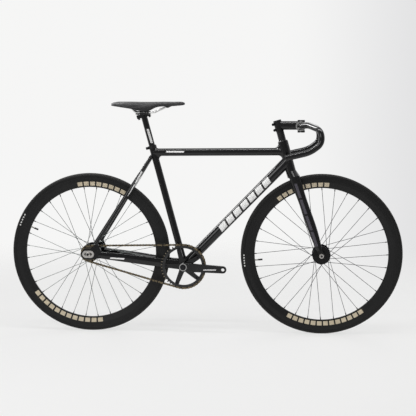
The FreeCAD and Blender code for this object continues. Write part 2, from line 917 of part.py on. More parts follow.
def make_axle_nuts(name, axle_r, face, axle):
    base = axle - ACROSS * float(face)
    flange = cylinder(f"{name}_flange", S.nut_flange_r, S.nut_flange_height, base, -ACROSS)
    hexed = hexagon(f"{name}_hex", S.nut_hex_r, S.nut_height, base, -ACROSS)
    bore = cylinder(f"{name}_bore", axle_r, S.nut_height + S.overrun * 2, base + ACROSS * float(S.overrun),
                    -ACROSS)
    return mirrored_pair(name, cut(f"{name}_one", fuse(f"{name}_blank", flange, hexed), bore))


def build_wheel(prefix, flange_y, half, left_steps, right_steps, axle_r, axle, turn):
    pieces = {
        "rim": make_rim(f"{prefix}_rim", flange_y),
        "tyre": make_tyre(f"{prefix}_tyre"),
        "inner_tube": make_inner_tube(f"{prefix}_inner_tube"),
        "spokes": make_spokes(f"{prefix}_spokes", flange_y),
        "nipples": make_nipples(f"{prefix}_nipples", flange_y),
        "hub_shell": make_hub(f"{prefix}_hub_shell", flange_y, half, left_steps, right_steps),
        "hub_bearings": make_hub_bearings(f"{prefix}_hub_bearings", half, axle_r),
    }
    for kind, obj in pieces.items():
        obj.Placement = Placement(axle, Rotation(WHEEL_TURN, float(turn)))
        node(obj, f"{prefix}_{kind}")


FRONT_END = [(S.hub_end_r, S.front_hub_half)]
REAR_END = [(S.hub_end_r, S.rear_hub_half)]
COG_FACE = S.chain_line + S.cog_boss_half
COG_END = [(S.lockring_bore_r, S.rear_hub_half), (S.lockring_bore_r, COG_FACE), (S.cog_bore_r, COG_FACE)]
build_wheel("front", S.front_flange_y, S.front_hub_half, FRONT_END, FRONT_END, S.front_axle_r, FRONT_AXLE,
            ZERO)
build_wheel("rear", S.rear_flange_y, S.rear_hub_half, REAR_END, COG_END, S.rear_axle_r, REAR_AXLE,
            S.rear_wheel_turn)


# Chain and sprockets

CHAIN_AXIS = (BB - REAR_AXLE).normalize()
CHAIN_LEFT = Vector(-CHAIN_AXIS.z, 0, CHAIN_AXIS.x)
TOP_TANGENT = CHAIN_LEFT * math.cos(LEAN) - CHAIN_AXIS * math.sin(LEAN)
LOW_TANGENT = CHAIN_LEFT * -math.cos(LEAN) - CHAIN_AXIS * math.sin(LEAN)
RUN = CENTRES * math.cos(LEAN)
PITCH = float(S.chain_pitch)
RING_ARC = PITCH * float(S.ring_teeth) * (math.pi + 2 * LEAN) / (2 * math.pi)


def clockwise(vector, angle):
    return Rotation(ACROSS, math.degrees(angle)).multVec(vector)


def chain_point(along):
    """The place of the chain's centre line at a distance along it from the cog's top tangent."""
    if along <= RUN:
        start = REAR_AXLE + TOP_TANGENT * COG_R
        end = BB + TOP_TANGENT * RING_R
        return start + (end - start) * (along / RUN)
    if along <= RUN + RING_ARC:
        turn = 2 * math.pi * (along - RUN) / PITCH / float(S.ring_teeth)
        return BB + clockwise(TOP_TANGENT, turn) * RING_R
    if along <= 2 * RUN + RING_ARC:
        start = BB + LOW_TANGENT * RING_R
        end = REAR_AXLE + LOW_TANGENT * COG_R
        return start + (end - start) * ((along - RUN - RING_ARC) / RUN)
    turn = 2 * math.pi * (along - 2 * RUN - RING_ARC) / PITCH / float(S.cog_teeth)
    return REAR_AXLE + clockwise(LOW_TANGENT, turn) * COG_R


def link_plate(wall, y):
    """One waisted side plate, its pins at x = 0 and x = pitch."""
    r = float(S.chain_plate_r)
    waist = float(S.chain_waist_half)
    edges = []
    for side, near, far in ((1, 0, PITCH), (-1, PITCH, 0)):
        low = Vector(near, 0, side * -r)
        back = Vector(near - side * r, 0, 0)
        top = Vector(near, 0, side * r)
        middle = Vector(PITCH / 2, 0, side * waist)
        edges.append(Part.Arc(low, back, top).toShape())
        edges.append(Part.Arc(top, middle, Vector(far, 0, side * r)).toShape())
    face = Part.Face(Part.Wire(edges))
    face.translate(ACROSS * y)
    return face.extrude(ACROSS * wall)


def link_rods(radius, half):
    """A rod across the chain at each end of a link."""
    return [Part.makeCylinder(float(radius), 2 * half, Vector(x, -half, 0), ACROSS) for x in (0, PITCH)]


def make_inner_link():
    inner = float(S.chain_inner_half)
    wall = float(S.chain_plate_wall)
    plates = [link_plate(wall, inner), link_plate(wall, -inner - wall)]
    rollers = link_rods(S.roller_r, inner)
    holes = link_rods(S.chain_pin_r + S.chain_pin_gap, inner + wall + float(S.overrun))
    return plates[0].fuse([plates[1]] + rollers).cut(Part.makeCompound(holes)).removeSplitter()


def make_outer_link():
    wall = float(S.chain_plate_wall)
    near = float(S.chain_inner_half + S.chain_plate_wall + S.chain_plate_gap)
    plates = [link_plate(wall, near), link_plate(wall, -near - wall)]
    pins = link_rods(S.chain_pin_r, near + wall + float(S.chain_pin_proud))
    return plates[0].fuse([plates[1]] + pins).removeSplitter()


def make_chain(name, link, first):
    solids = []
    links = int(float(S.chain_links))
    for i in range(first, links, 2):
        start = chain_point(i * PITCH)
        end = chain_point((i + 1) % links * PITCH)
        way = (end - start).normalize()
        middle = (start + end) / 2 - ACROSS * float(S.chain_line)
        turn = Rotation(ACROSS, -math.degrees(math.atan2(way.z, way.x)))
        copy = link.copy()
        copy.Placement = Placement(middle - turn.multVec(ALONG * (PITCH / 2)), turn)
        solids.append(copy)
    return node(feature(name, Part.makeCompound(solids)), name)


def tooth_wire(teeth, gap_angle):
    """A sprocket outline: a round seat for each roller, straight flanks and a short flat tip."""
    pitch_r = sprocket_pitch_r(teeth)
    seat_r = float(S.roller_r + S.roller_seat_gap)
    tip_r = pitch_r + float(S.tooth_tip_rise)
    flank = math.radians(float(S.tooth_flank_angle))
    step = 2 * math.pi / float(teeth)
    tip = Vector(tip_r * math.cos(step / 2), 0, tip_r * math.sin(step / 2))
    across_tip = Vector(-math.sin(step / 2), 0, math.cos(step / 2)) * float(S.tooth_tip_half)
    seat_end = Vector(pitch_r + seat_r * math.sin(flank), 0, seat_r * math.cos(flank))
    seat_start = Vector(seat_end.x, 0, -seat_end.z)
    seat_low = Vector(pitch_r - seat_r, 0, 0)
    points = []
    for i in range(int(float(teeth))):
        turn = Rotation(WHEEL_TURN, math.degrees(gap_angle + i * step))
        after = Rotation(WHEEL_TURN, math.degrees(gap_angle + (i + 1) * step))
        points.append([turn.multVec(p) for p in (seat_start, seat_low, seat_end, tip - across_tip)]
                      + [turn.multVec(tip + across_tip), after.multVec(seat_start)])
    edges = []
    for start, low, end, tip_first, tip_last, following in points:
        edges.append(Part.Arc(start, low, end).toShape())
        edges.append(Part.makeLine(end, tip_first))
        edges.append(Part.makeLine(tip_first, tip_last))
        edges.append(Part.makeLine(tip_last, following))
    return Part.Wire(edges)


def toothed_disc(teeth, gap_angle):
    wall = float(S.tooth_half_wall)
    disc = Part.Face(tooth_wire(teeth, gap_angle))
    disc.translate(ACROSS * -wall)
    return disc.extrude(ACROSS * (2 * wall))


def angle_of(vector):
    return math.atan2(vector.z, vector.x)


def make_chainring(name):
    first = math.ceil(RUN / PITCH) * PITCH - RUN
    gap = angle_of(TOP_TANGENT) - 2 * math.pi * first / PITCH / float(S.ring_teeth)
    disc = toothed_disc(S.ring_teeth, gap)
    wall = float(S.tooth_half_wall)
    deep = 2 * wall
    low = ACROSS * -wall
    window = Part.makeCylinder(float(S.ring_band_inner_r), deep, low, ACROSS)
    ring = disc.cut(window)
    tabs = []
    holes = []
    for way in spider_ways():
        centre = way * float(S.ring_bolt_circle_r) + low
        tabs.append(Part.makeCylinder(float(S.ring_tab_r), deep, centre, ACROSS))
        holes.append(Part.makeCylinder(float(S.ring_bolt_r), deep, centre, ACROSS))
    ring = ring.fuse(tabs).removeSplitter().cut(Part.makeCompound(holes))
    made = feature(name, ring)
    made.Placement.Base = BB - ACROSS * float(S.chain_line)
    return node(made, name)


def spider_ways():
    step = FULL_TURN / float(S.spider_arms)
    first = float(S.crank_angle) + float(S.spider_angle)
    return [direction(first + step * i) for i in range(int(float(S.spider_arms)))]


def make_cog(name):
    disc = toothed_disc(S.cog_teeth, angle_of(TOP_TANGENT))
    half = float(S.cog_boss_half)
    boss = Part.makeCylinder(float(S.cog_boss_r), 2 * half, ACROSS * -half, ACROSS)
    bore = Part.makeCylinder(float(S.cog_bore_r), 2 * half, ACROSS * -half, ACROSS)
    made = feature(name, disc.fuse(boss).removeSplitter().cut(bore))
    made.Placement.Base = REAR_AXLE - ACROSS * float(S.chain_line)
    return node(made, name)


make_chain("chain_inner_links", make_inner_link(), 0)
make_chain("chain_outer_links", make_outer_link(), 1)
make_chainring("chainring")
make_cog("rear_cog")


def make_lockring(name):
    base = REAR_AXLE - ACROSS * float(COG_FACE)
    return node(tube(name, S.lockring_r, S.lockring_bore_r, S.lockring_wall, base, -ACROSS), name)


make_lockring("rear_lockring")


# Axles and nuts

def build_axle(prefix, axle_r, half, end_face, end, nut_face, axle):
    name = f"{prefix}_axle"
    rod = node(make_axle(name, axle_r, half, end_face, end), name)
    rod.Placement.Base = axle
    node(make_axle_nuts(f"{name}_nuts", axle_r, nut_face, axle), f"{name}_nuts")


build_axle("front", S.front_axle_r, S.front_hub_half, S.front_end_face, S.front_axle_end,
           S.front_end_face + S.fork_end_wall, FRONT_AXLE)
build_axle("rear", S.rear_axle_r, S.rear_hub_half, S.rear_end_face, S.rear_axle_end,
           S.rear_end_face + S.dropout_wall + S.face_plate_wall, REAR_AXLE)


# Crankset

CRANK_TURN = Rotation(WHEEL_TURN, float(S.crank_angle))
BACK_TURN = Rotation(WHEEL_TURN, float(S.crank_angle) + HALF_TURN)


def make_crank_arm(name):
    """A tapered arm with rounded edges, its axle hole at the origin and its pedal end along X."""
    lean = (S.crank_root_half - S.crank_tip_r) / S.crank_length
    rise = root(ONE - lean * lean)
    root_x = S.crank_root_half * lean
    root_y = S.crank_root_half * rise
    tip_x = S.crank_length + S.crank_tip_r * lean
    tip_y = S.crank_tip_r * rise
    arm = plate(name, S.crank_arm_wall, [
        (root_x, -root_y),
        (tip_x, -tip_y, S.crank_tip_r, 1),
        (S.crank_length + S.crank_tip_r, ZERO, S.crank_tip_r, 1),
        (tip_x, tip_y),
        (root_x, root_y),
    ])
    doc.recompute()
    pad = arm.Tip
    rounding = arm.newObject("PartDesign::Fillet", f"{name}_edges")
    rounding.Base = (pad, flat_sides(pad.Shape))
    bind(rounding, Radius=S.crank_edge_r)
    return arm


def build_crank(name, side, turn, extra):
    """One crank on its square taper, with a recess for its bolt and a threaded pedal hole."""
    out = ACROSS * side
    arm = make_crank_arm(f"{name}_arm")
    arm_y = float(S.crank_boss_outer - S.crank_arm_wall / 2)
    arm.Placement = Placement(BB + out * arm_y, turn)
    boss_height = S.crank_boss_outer - S.crank_boss_inner
    boss_base = BB + out * float(S.crank_boss_inner)
    straight = boss_height - S.crank_bevel
    boss = cylinder(f"{name}_boss", S.crank_boss_r, straight, boss_base, out)
    bevel = cone(f"{name}_bevel", S.crank_boss_r, S.crank_boss_r - S.crank_bevel, S.crank_bevel,
                 boss_base + out * float(straight), out)
    top = BB + out * float(S.crank_boss_outer + S.overrun)
    recess = cylinder(f"{name}_recess", S.crank_recess_r, S.crank_recess_depth + S.overrun, top, -out)
    taper_depth = boss_height + S.overrun * 2
    taper = box(f"{name}_taper", S.spindle_square, taper_depth, S.spindle_square,
                BB + out * float(S.crank_boss_inner + boss_height / 2), turn)
    pedal = BB + turn.multVec(ALONG) * float(S.crank_length) + out * (arm_y - float(S.crank_arm_wall))
    hole = cylinder(f"{name}_pedal_hole", S.pedal_hole_r, S.crank_arm_wall * 2, pedal, out)
    blank = fuse(f"{name}_blank", arm, boss, bevel, *extra)
    return node(cut(name, blank, recess, taper, hole), name)


def make_spider_arms():
    """Five arms from the boss to the chainring bolts, on the outer face of the ring."""
    inner = S.chain_line + S.tooth_half_wall
    middle = float(inner + S.spider_wall / 2)
    arms = []
    for i, way in enumerate(spider_ways()):
        arm = plate(f"spider_arm_{i}", S.spider_wall, [
            (ZERO, -S.spider_root_half),
            (S.ring_bolt_circle_r, -S.spider_tip_half, S.spider_tip_half, 1),
            (S.ring_bolt_circle_r + S.spider_tip_half, ZERO, S.spider_tip_half, 1),
            (S.ring_bolt_circle_r, S.spider_tip_half),
            (ZERO, S.spider_root_half),
        ])
        arm.Placement = Placement(BB - ACROSS * middle, Rotation(ALONG, way))
        base = BB + way * float(S.ring_bolt_circle_r) - ACROSS * float(inner - S.overrun)
        hole = cylinder(f"spider_hole_{i}", S.ring_bolt_r, S.spider_wall + S.overrun * 2, base, -ACROSS)
        arms.append(cut(f"spider_drilled_{i}", arm, hole))
    return arms


def make_ring_bolts(name):
    """Socket head bolts through the spider and the ring."""
    inner = float(S.chain_line - S.tooth_half_wall)
    grip = float(S.tooth_half_wall * 2 + S.spider_wall)
    head = float(S.ring_bolt_head)
    solids = []
    for way in spider_ways():
        base = BB + way * float(S.ring_bolt_circle_r) - ACROSS * inner
        shank = Part.makeCylinder(float(S.ring_bolt_r), grip, base, -ACROSS)
        outer_head = Part.makeCylinder(float(S.ring_bolt_head_r), head, base - ACROSS * grip, -ACROSS)
        inner_head = Part.makeCylinder(float(S.ring_bolt_head_r), head, base, ACROSS)
        socket = Part.makeCylinder(float(S.ring_bolt_socket_r), grip, base - ACROSS * (grip / 2), -ACROSS)
        solids.append(shank.fuse([outer_head, inner_head]).removeSplitter().cut(socket))
    return node(feature(name, Part.makeCompound(solids)), name)


def make_spindle(name):
    """A round spindle with a square end and a bolt hole on each side."""
    half = S.crank_boss_outer - S.crank_recess_depth - S.face_gap
    flat_length = half * 2
    middle = cylinder(f"{name}_round", S.spindle_r, S.crank_boss_inner * 2,
                      BB - ACROSS * float(S.crank_boss_inner), ACROSS)
    square = box(f"{name}_square", S.spindle_square, flat_length, S.spindle_square, BB, CRANK_TURN)
    corner_r = cylinder(f"{name}_swing", S.spindle_r, flat_length, BB - ACROSS * float(half), ACROSS)
    ends = doc.addObject("Part::MultiCommon", f"{name}_ends")
    ends.Shapes = [square, corner_r]
    holes = []
    for side in (RIGHT, LEFT):
        start = BB + ACROSS * (side * float(half + S.overrun))
        deep = S.crank_bolt_length + S.overrun
        holes.append(cylinder(f"{name}_hole", S.crank_bolt_r, deep, start, ACROSS * -side))
    return node(cut(name, fuse(f"{name}_blank", middle, ends), *holes), name)


def make_crank_bolts(name):
    seat = S.crank_boss_outer - S.crank_recess_depth
    base = BB - ACROSS * float(seat)
    flange = cylinder(f"{name}_flange", S.crank_bolt_head_r, S.crank_bolt_flange, base, -ACROSS)
    top = base - ACROSS * float(S.crank_bolt_flange)
    hexed = hexagon(f"{name}_hex", S.crank_bolt_hex_r, S.crank_bolt_hex, top, -ACROSS)
    shank = cylinder(f"{name}_shank", S.crank_bolt_r, S.crank_bolt_length, base, ACROSS)
    one = fuse(f"{name}_right", flange, hexed, shank)
    return node(mirrored_pair(name, one), name)


build_crank("right_crank", RIGHT, CRANK_TURN, make_spider_arms())
build_crank("left_crank", LEFT, BACK_TURN, [])
make_ring_bolts("chainring_bolts")
make_spindle("crank_spindle")
make_crank_bolts("crank_bolts")


# Frame

def solid_tube(name, radius, start, end):
    """A plain rod along a tube's axis, for cutting other tubes against its wall."""
    length = (end - start).Length
    rod = Part.makeCylinder(float(radius), length, start, (end - start).normalize())
    return feature(name, rod)


def make_bb_shell(name):
    base = BB - ACROSS * float(S.bb_shell_half)
    return node(tube(name, S.bb_shell_r, S.bb_thread_r, S.bb_shell_half * 2, base, ACROSS), name)


def make_bb_cups(name):
    face = S.bb_shell_half
    body = turned(f"{name}_one", [
        (S.spindle_r + S.run_gap, face - S.cup_depth),
        (S.bb_thread_r, face - S.cup_depth),
        (S.bb_thread_r, face),
        (S.cup_flange_r, face),
        (S.cup_flange_r, face + S.cup_flange),
        (S.spindle_r + S.run_gap, face + S.cup_flange),
    ])
    body.Placement.Base = BB
    return node(mirrored_pair(name, body), name)


def make_head_tube(name):
    """The head tube with a bearing seat in each end."""
    outer = cylinder(f"{name}_outer", S.head_tube_r, S.head_tube_length, HEAD_LOW, STEER_AXIS)
    bore_base = on_steerer(-float(S.overrun))
    through = S.head_tube_length + S.overrun * 2
    bore = cylinder(f"{name}_bore", S.head_tube_bore_r, through, bore_base, STEER_AXIS)
    low_depth = S.race_height + S.bearing_width + S.face_gap
    low_seat = cylinder(f"{name}_low_seat", S.bearing_r, low_depth + S.overrun, bore_base, STEER_AXIS)
    top_base = on_steerer(S.head_tube_length - S.bearing_width - S.face_gap)
    top_seat = cylinder(f"{name}_top_seat", S.bearing_r, S.bearing_width + S.face_gap + S.overrun, top_base,
                        STEER_AXIS)
    return node(cut(name, outer, bore, low_seat, top_seat), name)


def make_headset_bearings(name):
    low = on_steerer(S.race_height + S.face_gap)
    high = on_steerer(S.head_tube_length - S.bearing_width - S.face_gap)
    rings = []
    for place, base in (("low", low), ("top", high)):
        rings.append(tube(f"{name}_{place}", S.bearing_r, S.steerer_r + S.run_gap, S.bearing_width, base,
                          STEER_AXIS))
    both = doc.addObject("Part::Compound", name)
    both.Links = rings
    return node(both, name)


def frame_rods():
    """Rods that stand for the tubes' outer walls, used to mitre each tube to the next."""
    head_reach = STEER_AXIS * float(S.head_tube_length)
    return {
        "head": solid_tube("head_rod", S.head_tube_r, HEAD_LOW, HEAD_LOW + head_reach),
        "seat": solid_tube("seat_rod", S.seat_tube_r, BB, on_seat_tube(S.seat_tube_length)),
        "top": solid_tube("top_rod", S.top_tube_r, on_seat_tube(S.top_tube_seat_height),
                          on_steerer(S.top_tube_head_height)),
        "shell": solid_tube("shell_rod", S.bb_shell_r, BB - ACROSS * float(S.bb_shell_half),
                            BB + ACROSS * float(S.bb_shell_half)),
    }


def make_seat_tube(name, rods):
    blank = tube(f"{name}_tube", S.seat_tube_r, S.post_r + S.slide_gap, S.seat_tube_length, BB, SEAT_AXIS)
    return node(cut(name, blank, rods["shell"]), name)


def make_top_tube(name, rods):
    start = on_seat_tube(S.top_tube_seat_height)
    end = on_steerer(S.top_tube_head_height)
    bore = S.top_tube_r - S.top_tube_wall
    blank = tube(f"{name}_tube", S.top_tube_r, bore, span(start, end), start, (end - start).normalize())
    return node(cut(name, blank, rods["seat"], rods["head"]), name)


def make_down_tube(name, rods):
    """A tube that narrows a little towards the bottom bracket."""
    end = on_steerer(S.down_tube_head_height)
    way = (end - BB).normalize()
    length = span(BB, end)
    wall = S.down_tube_wall
    outer = cone(f"{name}_outer", S.down_tube_low_r, S.down_tube_r, length, BB, way)
    inner = cone(f"{name}_bore", S.down_tube_low_r - wall, S.down_tube_r - wall, length, BB, way)
    blank = cut(f"{name}_tube", outer, inner)
    return node(cut(name, blank, rods["head"], rods["shell"], rods["seat"], rods["top"]), name)


def make_dropout(name):
    """A track end with a closed slot for the axle and horns for the two stays."""
    half = S.dropout_half
    neck = half * DROPOUT_NECK_SHARE
    edge = [
        (-S.dropout_rear, -neck / 2),
        (-neck, -half),
        (neck, -half),
        (S.dropout_front, -neck),
        (S.dropout_front, neck),
        (S.dropout_horn, S.dropout_horn),
        (neck * 2, S.dropout_horn),
        (neck / 2, half),
        (-neck, half),
        (-S.dropout_rear, neck / 2),
    ]
    slot_half = S.rear_axle_r + S.axle_slot_gap
    blank = plate(name, S.dropout_wall, edge, oval_outline(S.slot_half_length, slot_half))
    blank.Placement.Base = REAR_AXLE - ACROSS * float(S.rear_end_face + S.dropout_wall / 2)
    return blank


def make_face_plate(name):
    slot_half = S.rear_axle_r + S.axle_slot_gap
    blank = plate(name, S.face_plate_wall, oval_outline(S.face_plate_half_length, S.face_plate_half),
                  oval_outline(S.slot_half_length, slot_half))
    middle = S.rear_end_face + S.dropout_wall + S.face_plate_wall / 2
    blank.Placement.Base = REAR_AXLE - ACROSS * float(middle)
    return blank


def make_chain_stay(name, dropout, rods):
    """A tall flattened stay that spreads from the bottom bracket to the dropout."""
    way = (REAR_AXLE - BB).normalize()
    tall = Vector(-way.z, 0, way.x) * -1
    spread = [S.chain_stay_front_y, S.chain_stay_bend_y, S.chain_stay_mid_y, S.chain_stay_end_y]
    heights = [S.chain_stay_front_half, S.chain_stay_front_half, S.chain_stay_mid_half,
               S.chain_stay_end_half]
    widths = [S.chain_stay_front_half_width, S.chain_stay_front_half_width, S.chain_stay_mid_half_width,
              S.chain_stay_end_half_width]
    rises = [S.chain_stay_front_rise, S.chain_stay_front_rise, S.chain_stay_mid_rise, S.chain_stay_end_rise]
    stations = []
    for share, y, high, wide, rise in zip(CHAIN_STAY_SHARES, spread, heights, widths, rises):
        centre = BB + (REAR_AXLE - BB) * share - ACROSS * float(y) + UP * float(rise)
        stations.append((centre, way, tall, high, wide))
    solid = oval_loft(stations, 0).cut(oval_loft(stations[:-1], float(S.chain_stay_wall)))
    return cut(name, feature(f"{name}_loft", solid), rods["shell"], dropout)


def make_seat_stay(name, dropout, rods):
    """A slim round stay from the side of the seat tube down to the dropout."""
    back = Vector(-SEAT_AXIS.z, 0, SEAT_AXIS.x)
    top = on_seat_tube(S.seat_stay_height) + back * float(S.seat_stay_set_back)
    top = top - ACROSS * float(S.seat_stay_top_y)
    low = REAR_AXLE + Vector(S.seat_stay_low_x, -S.seat_stay_low_y, S.seat_stay_low_z)
    way = (low - top).normalize()
    length = span(top, low)
    rod = cone(f"{name}_rod", S.seat_stay_r, S.seat_stay_low_r, length, top, way)
    cap = sphere(f"{name}_cap", S.seat_stay_r, top)
    hollow_r = S.seat_stay_r - S.seat_stay_wall
    bore = cylinder(f"{name}_bore", hollow_r, length - S.dropout_wall * 3, top, way)
    return cut(name, fuse(f"{name}_blank", rod, cap), bore, rods["seat"], dropout)


def make_seat_collar(name):
    """A split clamp round the top of the seat tube, closed by one bolt behind it."""
    low = on_seat_tube(S.seat_tube_length - S.collar_height)
    ring = cylinder(f"{name}_ring", S.collar_r, S.collar_height, low, SEAT_AXIS)
    middle = on_seat_tube(S.seat_tube_length - S.collar_height / 2)
    back = Vector(-SEAT_AXIS.z, 0, SEAT_AXIS.x)
    ear = box(f"{name}_ear", S.collar_ear_length, S.collar_ear_half * 2, S.collar_ear_height,
              middle + back * float(S.collar_ear_length / 2), SEAT_TURN)
    bore = cylinder(f"{name}_bore", S.seat_tube_r, S.collar_height + S.overrun * 2,
                    low - SEAT_AXIS * float(S.overrun), SEAT_AXIS)
    slit_length = S.collar_ear_length + S.overrun
    slit = box(f"{name}_slit", slit_length, S.collar_slit, S.collar_height + S.overrun * 2,
               middle + back * float(slit_length / 2), SEAT_TURN)
    place = middle + back * float(S.collar_bolt_place)
    start = place - ACROSS * float(S.collar_ear_half + S.overrun)
    hole = cylinder(f"{name}_hole", S.collar_bolt_r, S.collar_ear_half * 2 + S.overrun * 2, start, ACROSS)
    node(cut(name, fuse(f"{name}_blank", ring, ear), bore, slit, hole), name)
    side = place - ACROSS * float(S.collar_ear_half)
    shank = cylinder(f"{name}_bolt_shank", S.collar_bolt_r, S.collar_ear_half * 2 + S.overrun, side, ACROSS)
    head = cylinder(f"{name}_bolt_head", S.collar_bolt_head_r, S.collar_bolt_head, side, -ACROSS)
    return node(fuse(f"{name}_bolt", shank, head), f"{name}_bolt")


def build_frame():
    rods = frame_rods()
    make_bb_shell("bottom_bracket_shell")
    make_bb_cups("bottom_bracket_cups")
    make_head_tube("head_tube")
    make_headset_bearings("headset_bearings")
    make_seat_tube("seat_tube", rods)
    make_top_tube("top_tube", rods)
    make_down_tube("down_tube", rods)
    dropout = make_dropout("dropout_right")
    node(mirrored_pair("dropouts", dropout), "dropouts")
    node(mirrored_pair("dropout_face_plates", make_face_plate("face_plate_right")), "dropout_face_plates")
    chain_stay = make_chain_stay("chain_stay_right", dropout, rods)
    node(mirrored_pair("chain_stays", chain_stay), "chain_stays")
    seat_stay = make_seat_stay("seat_stay_right", dropout, rods)
    node(mirrored_pair("seat_stays", seat_stay), "seat_stays")
    make_seat_collar("seat_collar")


build_frame()


# Fork

CROWN_LOW = on_steerer(-float(S.face_gap + S.crown_depth)) + STEER_FORWARD * float(S.crown_forward)
COVER_TOP = S.head_tube_length + S.face_gap + S.cover_height
STEM_LOW = COVER_TOP + S.spacer_stack
STEM_TOP = STEM_LOW + S.stem_clamp_height


def make_steerer(name):
    base = -(S.face_gap + S.crown_depth)
    length = STEM_TOP - S.overrun - base
    bore = S.steerer_r - S.steerer_wall
    return node(tube(name, S.steerer_r, bore, length, on_steerer(base), STEER_AXIS), name)


def make_crown(name):
    """A smooth shoulder from the round head tube to the wide foot that carries the blades."""
    top = on_steerer(-float(S.face_gap))
    foot = CROWN_LOW - STEER_FORWARD * float(S.crown_set_back)
    stations = [
        (top, STEER_AXIS, STEER_FORWARD, S.head_tube_r, S.head_tube_r - S.thread_gap),
        (foot, STEER_AXIS, STEER_FORWARD, S.crown_half_depth, S.crown_half_width),
    ]
    solid = feature(f"{name}_loft", oval_loft(stations, 0))
    race = cylinder(f"{name}_race", S.race_r, S.race_height, top, STEER_AXIS)
    bore_base = on_steerer(-float(S.face_gap + S.crown_depth + S.overrun))
    deep = S.crown_depth + S.race_height + S.overrun * 2
    bore = cylinder(f"{name}_bore", S.steerer_r, deep, bore_base, STEER_AXIS)
    return node(cut(name, fuse(f"{name}_blank", solid, race), bore), name)


def make_fork_end(name):
    """A flat end with an open slot for the front axle and a tang inside the blade."""
    way = (CROWN_LOW - FRONT_AXLE).normalize()
    turn = Rotation(ALONG, way)
    blank = plate(f"{name}_blank", S.fork_end_wall, [
        (ZERO, S.fork_end_r, S.fork_end_r, 1),
        (-S.fork_end_r, ZERO, S.fork_end_r, 1),
        (ZERO, -S.fork_end_r),
        (S.fork_end_tang, -S.fork_end_tang_half),
        (S.fork_end_tang, S.fork_end_tang_half),
    ])
    middle = FRONT_AXLE - ACROSS * float(S.front_end_face + S.fork_end_wall / 2)
    blank.Placement = Placement(middle, turn)
    hole_r = S.front_axle_r
    deep = S.fork_end_wall + S.overrun * 2
    hole = cylinder(f"{name}_hole", hole_r, deep, middle - ACROSS * float(deep / 2), ACROSS)
    reach = S.fork_end_r + S.overrun
    slot = box(f"{name}_slot", reach, deep, hole_r * 2, middle - way * float(reach / 2), turn)
    return cut(name, blank, hole, slot)


def make_blade(name, fork_end):
    """An aero blade that narrows and spreads from the crown to the fork end."""
    way = (FRONT_AXLE - CROWN_LOW).normalize()
    deep = Vector(-way.z, 0, way.x)
    stations = []
    for share, chord, spread in zip(BLADE_SHARES, BLADE_CHORD_SHARES, BLADE_SPREAD_SHARES):
        first = share < BLADE_SHARES[2]
        ends = (S.blade_top_half, S.blade_mid_half) if first else (S.blade_low_half, S.blade_mid_half)
        walls = (S.blade_top_half_width, S.blade_mid_half_width)
        walls = walls if first else (S.blade_low_half_width, S.blade_mid_half_width)
        y = between(S.blade_top_y, S.blade_low_y, spread)
        centre = CROWN_LOW + (FRONT_AXLE - CROWN_LOW) * share - ACROSS * y
        axis, tall = (STEER_AXIS * -1, STEER_FORWARD) if share == 0 else (way, deep)
        stations.append((centre, axis, tall, between(*ends, chord), between(*walls, chord)))
    solid = oval_loft(stations, 0).cut(oval_loft(stations[:-2], float(S.blade_wall)))
    return cut(name, feature(f"{name}_loft", solid), fork_end)


def make_headset_cover(name):
    """A low cone that hides the top bearing."""
    low = on_steerer(S.head_tube_length + S.face_gap)
    skirt = cylinder(f"{name}_skirt", S.cover_r, S.cover_skirt, low, STEER_AXIS)
    slope = cone(f"{name}_slope", S.cover_r, S.spacer_r, S.cover_height - S.cover_skirt,
                 low + STEER_AXIS * float(S.cover_skirt), STEER_AXIS)
    bore = cylinder(f"{name}_bore", S.steerer_r, S.cover_height + S.overrun * 2,
                    low - STEER_AXIS * float(S.overrun), STEER_AXIS)
    return node(cut(name, fuse(f"{name}_blank", skirt, slope), bore), name)


def make_spacers(name):
    height = S.spacer_stack / S.spacer_count
    rings = []
    for i in range(int(float(S.spacer_count))):
        base = on_steerer(COVER_TOP + height * i)
        rings.append(tube(f"{name}_{i}", S.spacer_r, S.steerer_r, height, base, STEER_AXIS))
    stack = doc.addObject("Part::Compound", name)
    stack.Links = rings
    return node(stack, name)


STEM_MIDDLE = on_steerer(STEM_LOW + S.stem_clamp_height / 2)
BAR_CENTRE = STEM_MIDDLE + ALONG * float(S.stem_reach)


def stem_rear_ears():
    back = Vector(-STEER_AXIS.z, 0, STEER_AXIS.x)
    place = STEM_MIDDLE + back * float(S.stem_rear_ear_place)
    rise = STEER_AXIS * float(S.stem_rear_ear_rise)
    return [place + rise, place - rise]


def faceplate_bolt_places():
    for y in (-S.faceplate_bolt_y, S.faceplate_bolt_y):
        for z in (-S.faceplate_bolt_z, S.faceplate_bolt_z):
            yield BAR_CENTRE + Vector(0, y, z)


def bar_clamp_parts(name):
    """The round bar clamp with an ear above and below, before it is split."""
    half = ACROSS * float(S.stem_bar_half)
    ring = cylinder(f"{name}_ring", S.stem_bar_r, S.stem_bar_half * 2, BAR_CENTRE - half, ACROSS)
    depth = S.stem_ear_depth * 2 + S.stem_split
    ears = box(f"{name}_ears", depth, S.stem_bar_half * 2, S.stem_ear_height * 2, BAR_CENTRE)
    return ring, ears


def bar_bore(name):
    half = S.stem_bar_half + S.overrun
    return cylinder(name, S.bar_clamp_r + S.run_gap, half * 2, BAR_CENTRE - ACROSS * float(half), ACROSS)


def half_space(name, way):
    """A block that takes away the other half of the bar clamp, up to the split."""
    size = S.stem_ear_height * 2 + S.overrun * 2
    centre = BAR_CENTRE + ALONG * (way * float(size / 2 - S.stem_split / 2))
    return box(name, size, S.stem_bar_half * 2 + S.overrun * 2, size, centre)


